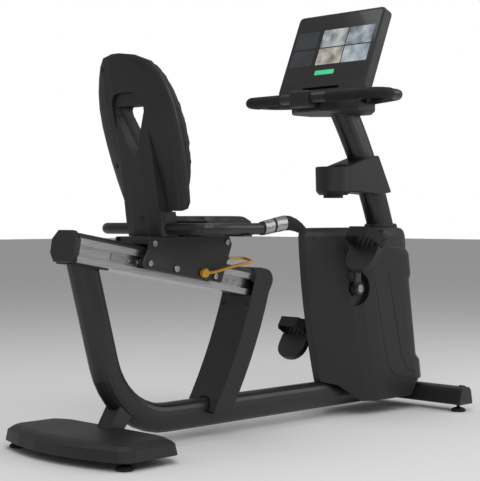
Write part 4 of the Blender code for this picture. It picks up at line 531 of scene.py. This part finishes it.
barSleeve = {"grow": 0.0014, "slot": "black_rubber", "inner": 0.10, "front": 0.33}
handSensor = {"grow": 0.0009, "slot": "steel", "aside": 0.2455,
              "runs": [(-0.2024, -0.1647), (-0.1562, -0.1135)]}
for side, tag, word in sides:
    cuts = [((0, side * barSleeve["inner"], 0), (0, side, 0)), ((barSleeve["front"], 0, 0), (-1, 0, 0))]
    skin("console_handlebar", "barSleeve" + tag, cuts, barSleeve, "frame")
    for i, (rear, front) in enumerate(handSensor["runs"]):
        outside = ((0, side * handSensor["aside"], 0), (0, side, 0))
        cuts = [((rear, 0, 0), (1, 0, 0)), ((front, 0, 0), (-1, 0, 0)), outside]
        skin("hand_grip_" + word, f"handSensor{i}{tag}", cuts, handSensor, "carriage")
print("sleeves and sensors made")


# what the screen shows: plain tiles, two dark panels and a button

def glow(name, low, high, scale, strength):
    made = bpy.data.materials.new(name)
    made.use_nodes = True
    tree = made.node_tree
    shader = tree.nodes["Principled BSDF"]
    where = tree.nodes.new("ShaderNodeTexCoord")
    patches = mapped(tree, noise(tree, where.outputs["Object"], scale, 2.0), 0.0, 1.0)
    shade = mixColours(tree, patches, (*low, 1), (*high, 1))
    give(tree, shade, shader.inputs["Base Color"])
    give(tree, shade, shader.inputs["Emission Color"])
    shader.inputs["Emission Strength"].default_value = strength
    shader.inputs["Roughness"].default_value = 0.3
    return made


looks = {
    "hill": glow("tileHill", (0.10, 0.13, 0.15), (0.42, 0.44, 0.43), 28, 0.5),
    "dusk": glow("tileDusk", (0.06, 0.08, 0.11), (0.35, 0.38, 0.42), 24, 0.5),
    "path": glow("tilePath", (0.14, 0.13, 0.11), (0.46, 0.42, 0.37), 32, 0.5),
    "lake": glow("tileLake", (0.07, 0.10, 0.13), (0.40, 0.45, 0.48), 20, 0.5),
    "dark": glow("panelShade", (0.022, 0.024, 0.027), (0.034, 0.037, 0.042), 12, 0.3),
    "green": glow("buttonGreen", (0.05, 0.42, 0.20), (0.06, 0.50, 0.24), 8, 0.6),
}
screen = {"middle": Vector((0.37373, 0, 1.21128)), "up": Vector((0.38752, 0, 0.92186)),
          "into": Vector((0.92186, 0, -0.38752)), "gap": 0.0002, "thick": 0.0003, "corner": 0.003}
screenTiles = {  # across to the rider's left, up, half-width, half-height, look
    "tileA": (0.000, 0.057, 0.054, 0.033, "hill"),
    "tileB": (-0.112, 0.057, 0.054, 0.033, "dusk"),
    "tileC": (0.000, -0.011, 0.054, 0.031, "path"),
    "tileD": (-0.112, -0.011, 0.054, 0.031, "lake"),
    "panelA": (0.122, 0.057, 0.050, 0.032, "dark"),
    "panelB": (0.122, -0.013, 0.050, 0.030, "dark"),
    "startButton": (0.003, -0.072, 0.042, 0.0085, "green"),
}
glass = nodes["display_glass"].data
glassFront = min((corner.co - screen["middle"]).dot(screen["into"]) for corner in glass.vertices)
facing = (-screen["into"]).to_track_quat("Z", "Y").to_euler()
sideways = abs((facing.to_matrix() @ Vector((1, 0, 0))).y) > 0.5  # a tile's own X lies across the screen
for name, (across, up, wide, high, look) in screenTiles.items():
    spot = screen["middle"] + screen["up"] * up + screen["into"] * (glassFront - screen["gap"])
    spot.y = across
    bpy.ops.object.select_all(action="DESELECT")
    bpy.ops.mesh.primitive_plane_add(size=2, location=spot, rotation=facing)
    tile = bpy.context.view_layer.objects.active
    tile.name = name
    tile.scale = (wide, high, 1) if sideways else (high, wide, 1)
    bpy.ops.object.transform_apply(location=False, rotation=False, scale=True)
    editAll(tile)
    bpy.ops.mesh.bevel(offset=screen["corner"], segments=4, affect="VERTICES")
    forward = tuple(-screen["into"] * screen["thick"])
    bpy.ops.mesh.extrude_region_move(TRANSFORM_OT_translate={"value": forward})
    bpy.ops.mesh.select_all(action="SELECT")
    bpy.ops.mesh.normals_make_consistent(inside=False)
    leaveEdit()
    settle(tile, looks[look], "frame")
print("screen made")


# floor, light and camera

bpy.ops.object.select_all(action="DESELECT")
bpy.ops.mesh.primitive_plane_add(size=60, location=(0, 0, -0.0005))
floor = bpy.context.view_layer.objects.active
floor.name = "floor"
paleFloor = bpy.data.materials.new("paleFloor")
paleFloor.use_nodes = True
paint = paleFloor.node_tree.nodes["Principled BSDF"].inputs
paint["Base Color"].default_value = grey(0.93)
paint["Roughness"].default_value = 0.9
floor.data.materials.append(paleFloor)
floor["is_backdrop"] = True

world = bpy.data.worlds.new("studio")
bpy.context.scene.world = world
world.use_nodes = True
sky = world.node_tree  # white to look at, dim as a light
rays = sky.nodes.new("ShaderNodeLightPath")
sky.nodes["Background"].inputs["Color"].default_value = grey(1.0)
strength = mapped(sky, rays.outputs["Is Camera Ray"], 0.30, 1.0, 0.0, 1.0)
give(sky, strength, sky.nodes["Background"].inputs["Strength"])

aim = Vector((0, 0, 0.6))
softLights = {
    "key": {"place": Vector((-2.2, -2.6, 3.2)), "size": 3.0, "power": 60},
    "fill": {"place": Vector((2.6, -2.2, 2.2)), "size": 2.5, "power": 30},
    "over": {"place": Vector((0, 0.5, 4.0)), "size": 3.5, "power": 40},
}
for name, light in softLights.items():
    turned = (aim - light["place"]).to_track_quat("-Z", "Y").to_euler()
    bpy.ops.object.light_add(type="AREA", location=light["place"], rotation=turned)
    lamp = bpy.context.view_layer.objects.active
    lamp.name = name
    lamp.data.size = light["size"]
    lamp.data.energy = light["power"]

view = {"place": (-2.8444, -2.792, 0.66), "down": 1.015, "right": 45, "sensor": 36, "lens": 95.25}
turned = (math.radians(90 - view["down"]), 0, math.radians(-view["right"]))
bpy.ops.object.camera_add(location=view["place"], rotation=turned)
camera = bpy.context.view_layer.objects.active
camera.data.sensor_fit = "HORIZONTAL"
camera.data.sensor_width = view["sensor"]
camera.data.lens = view["lens"]
bpy.context.scene.camera = camera
bpy.context.scene.view_settings.view_transform = "Standard"

low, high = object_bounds()
print("visual box", [round(side, 4) for side in high - low])
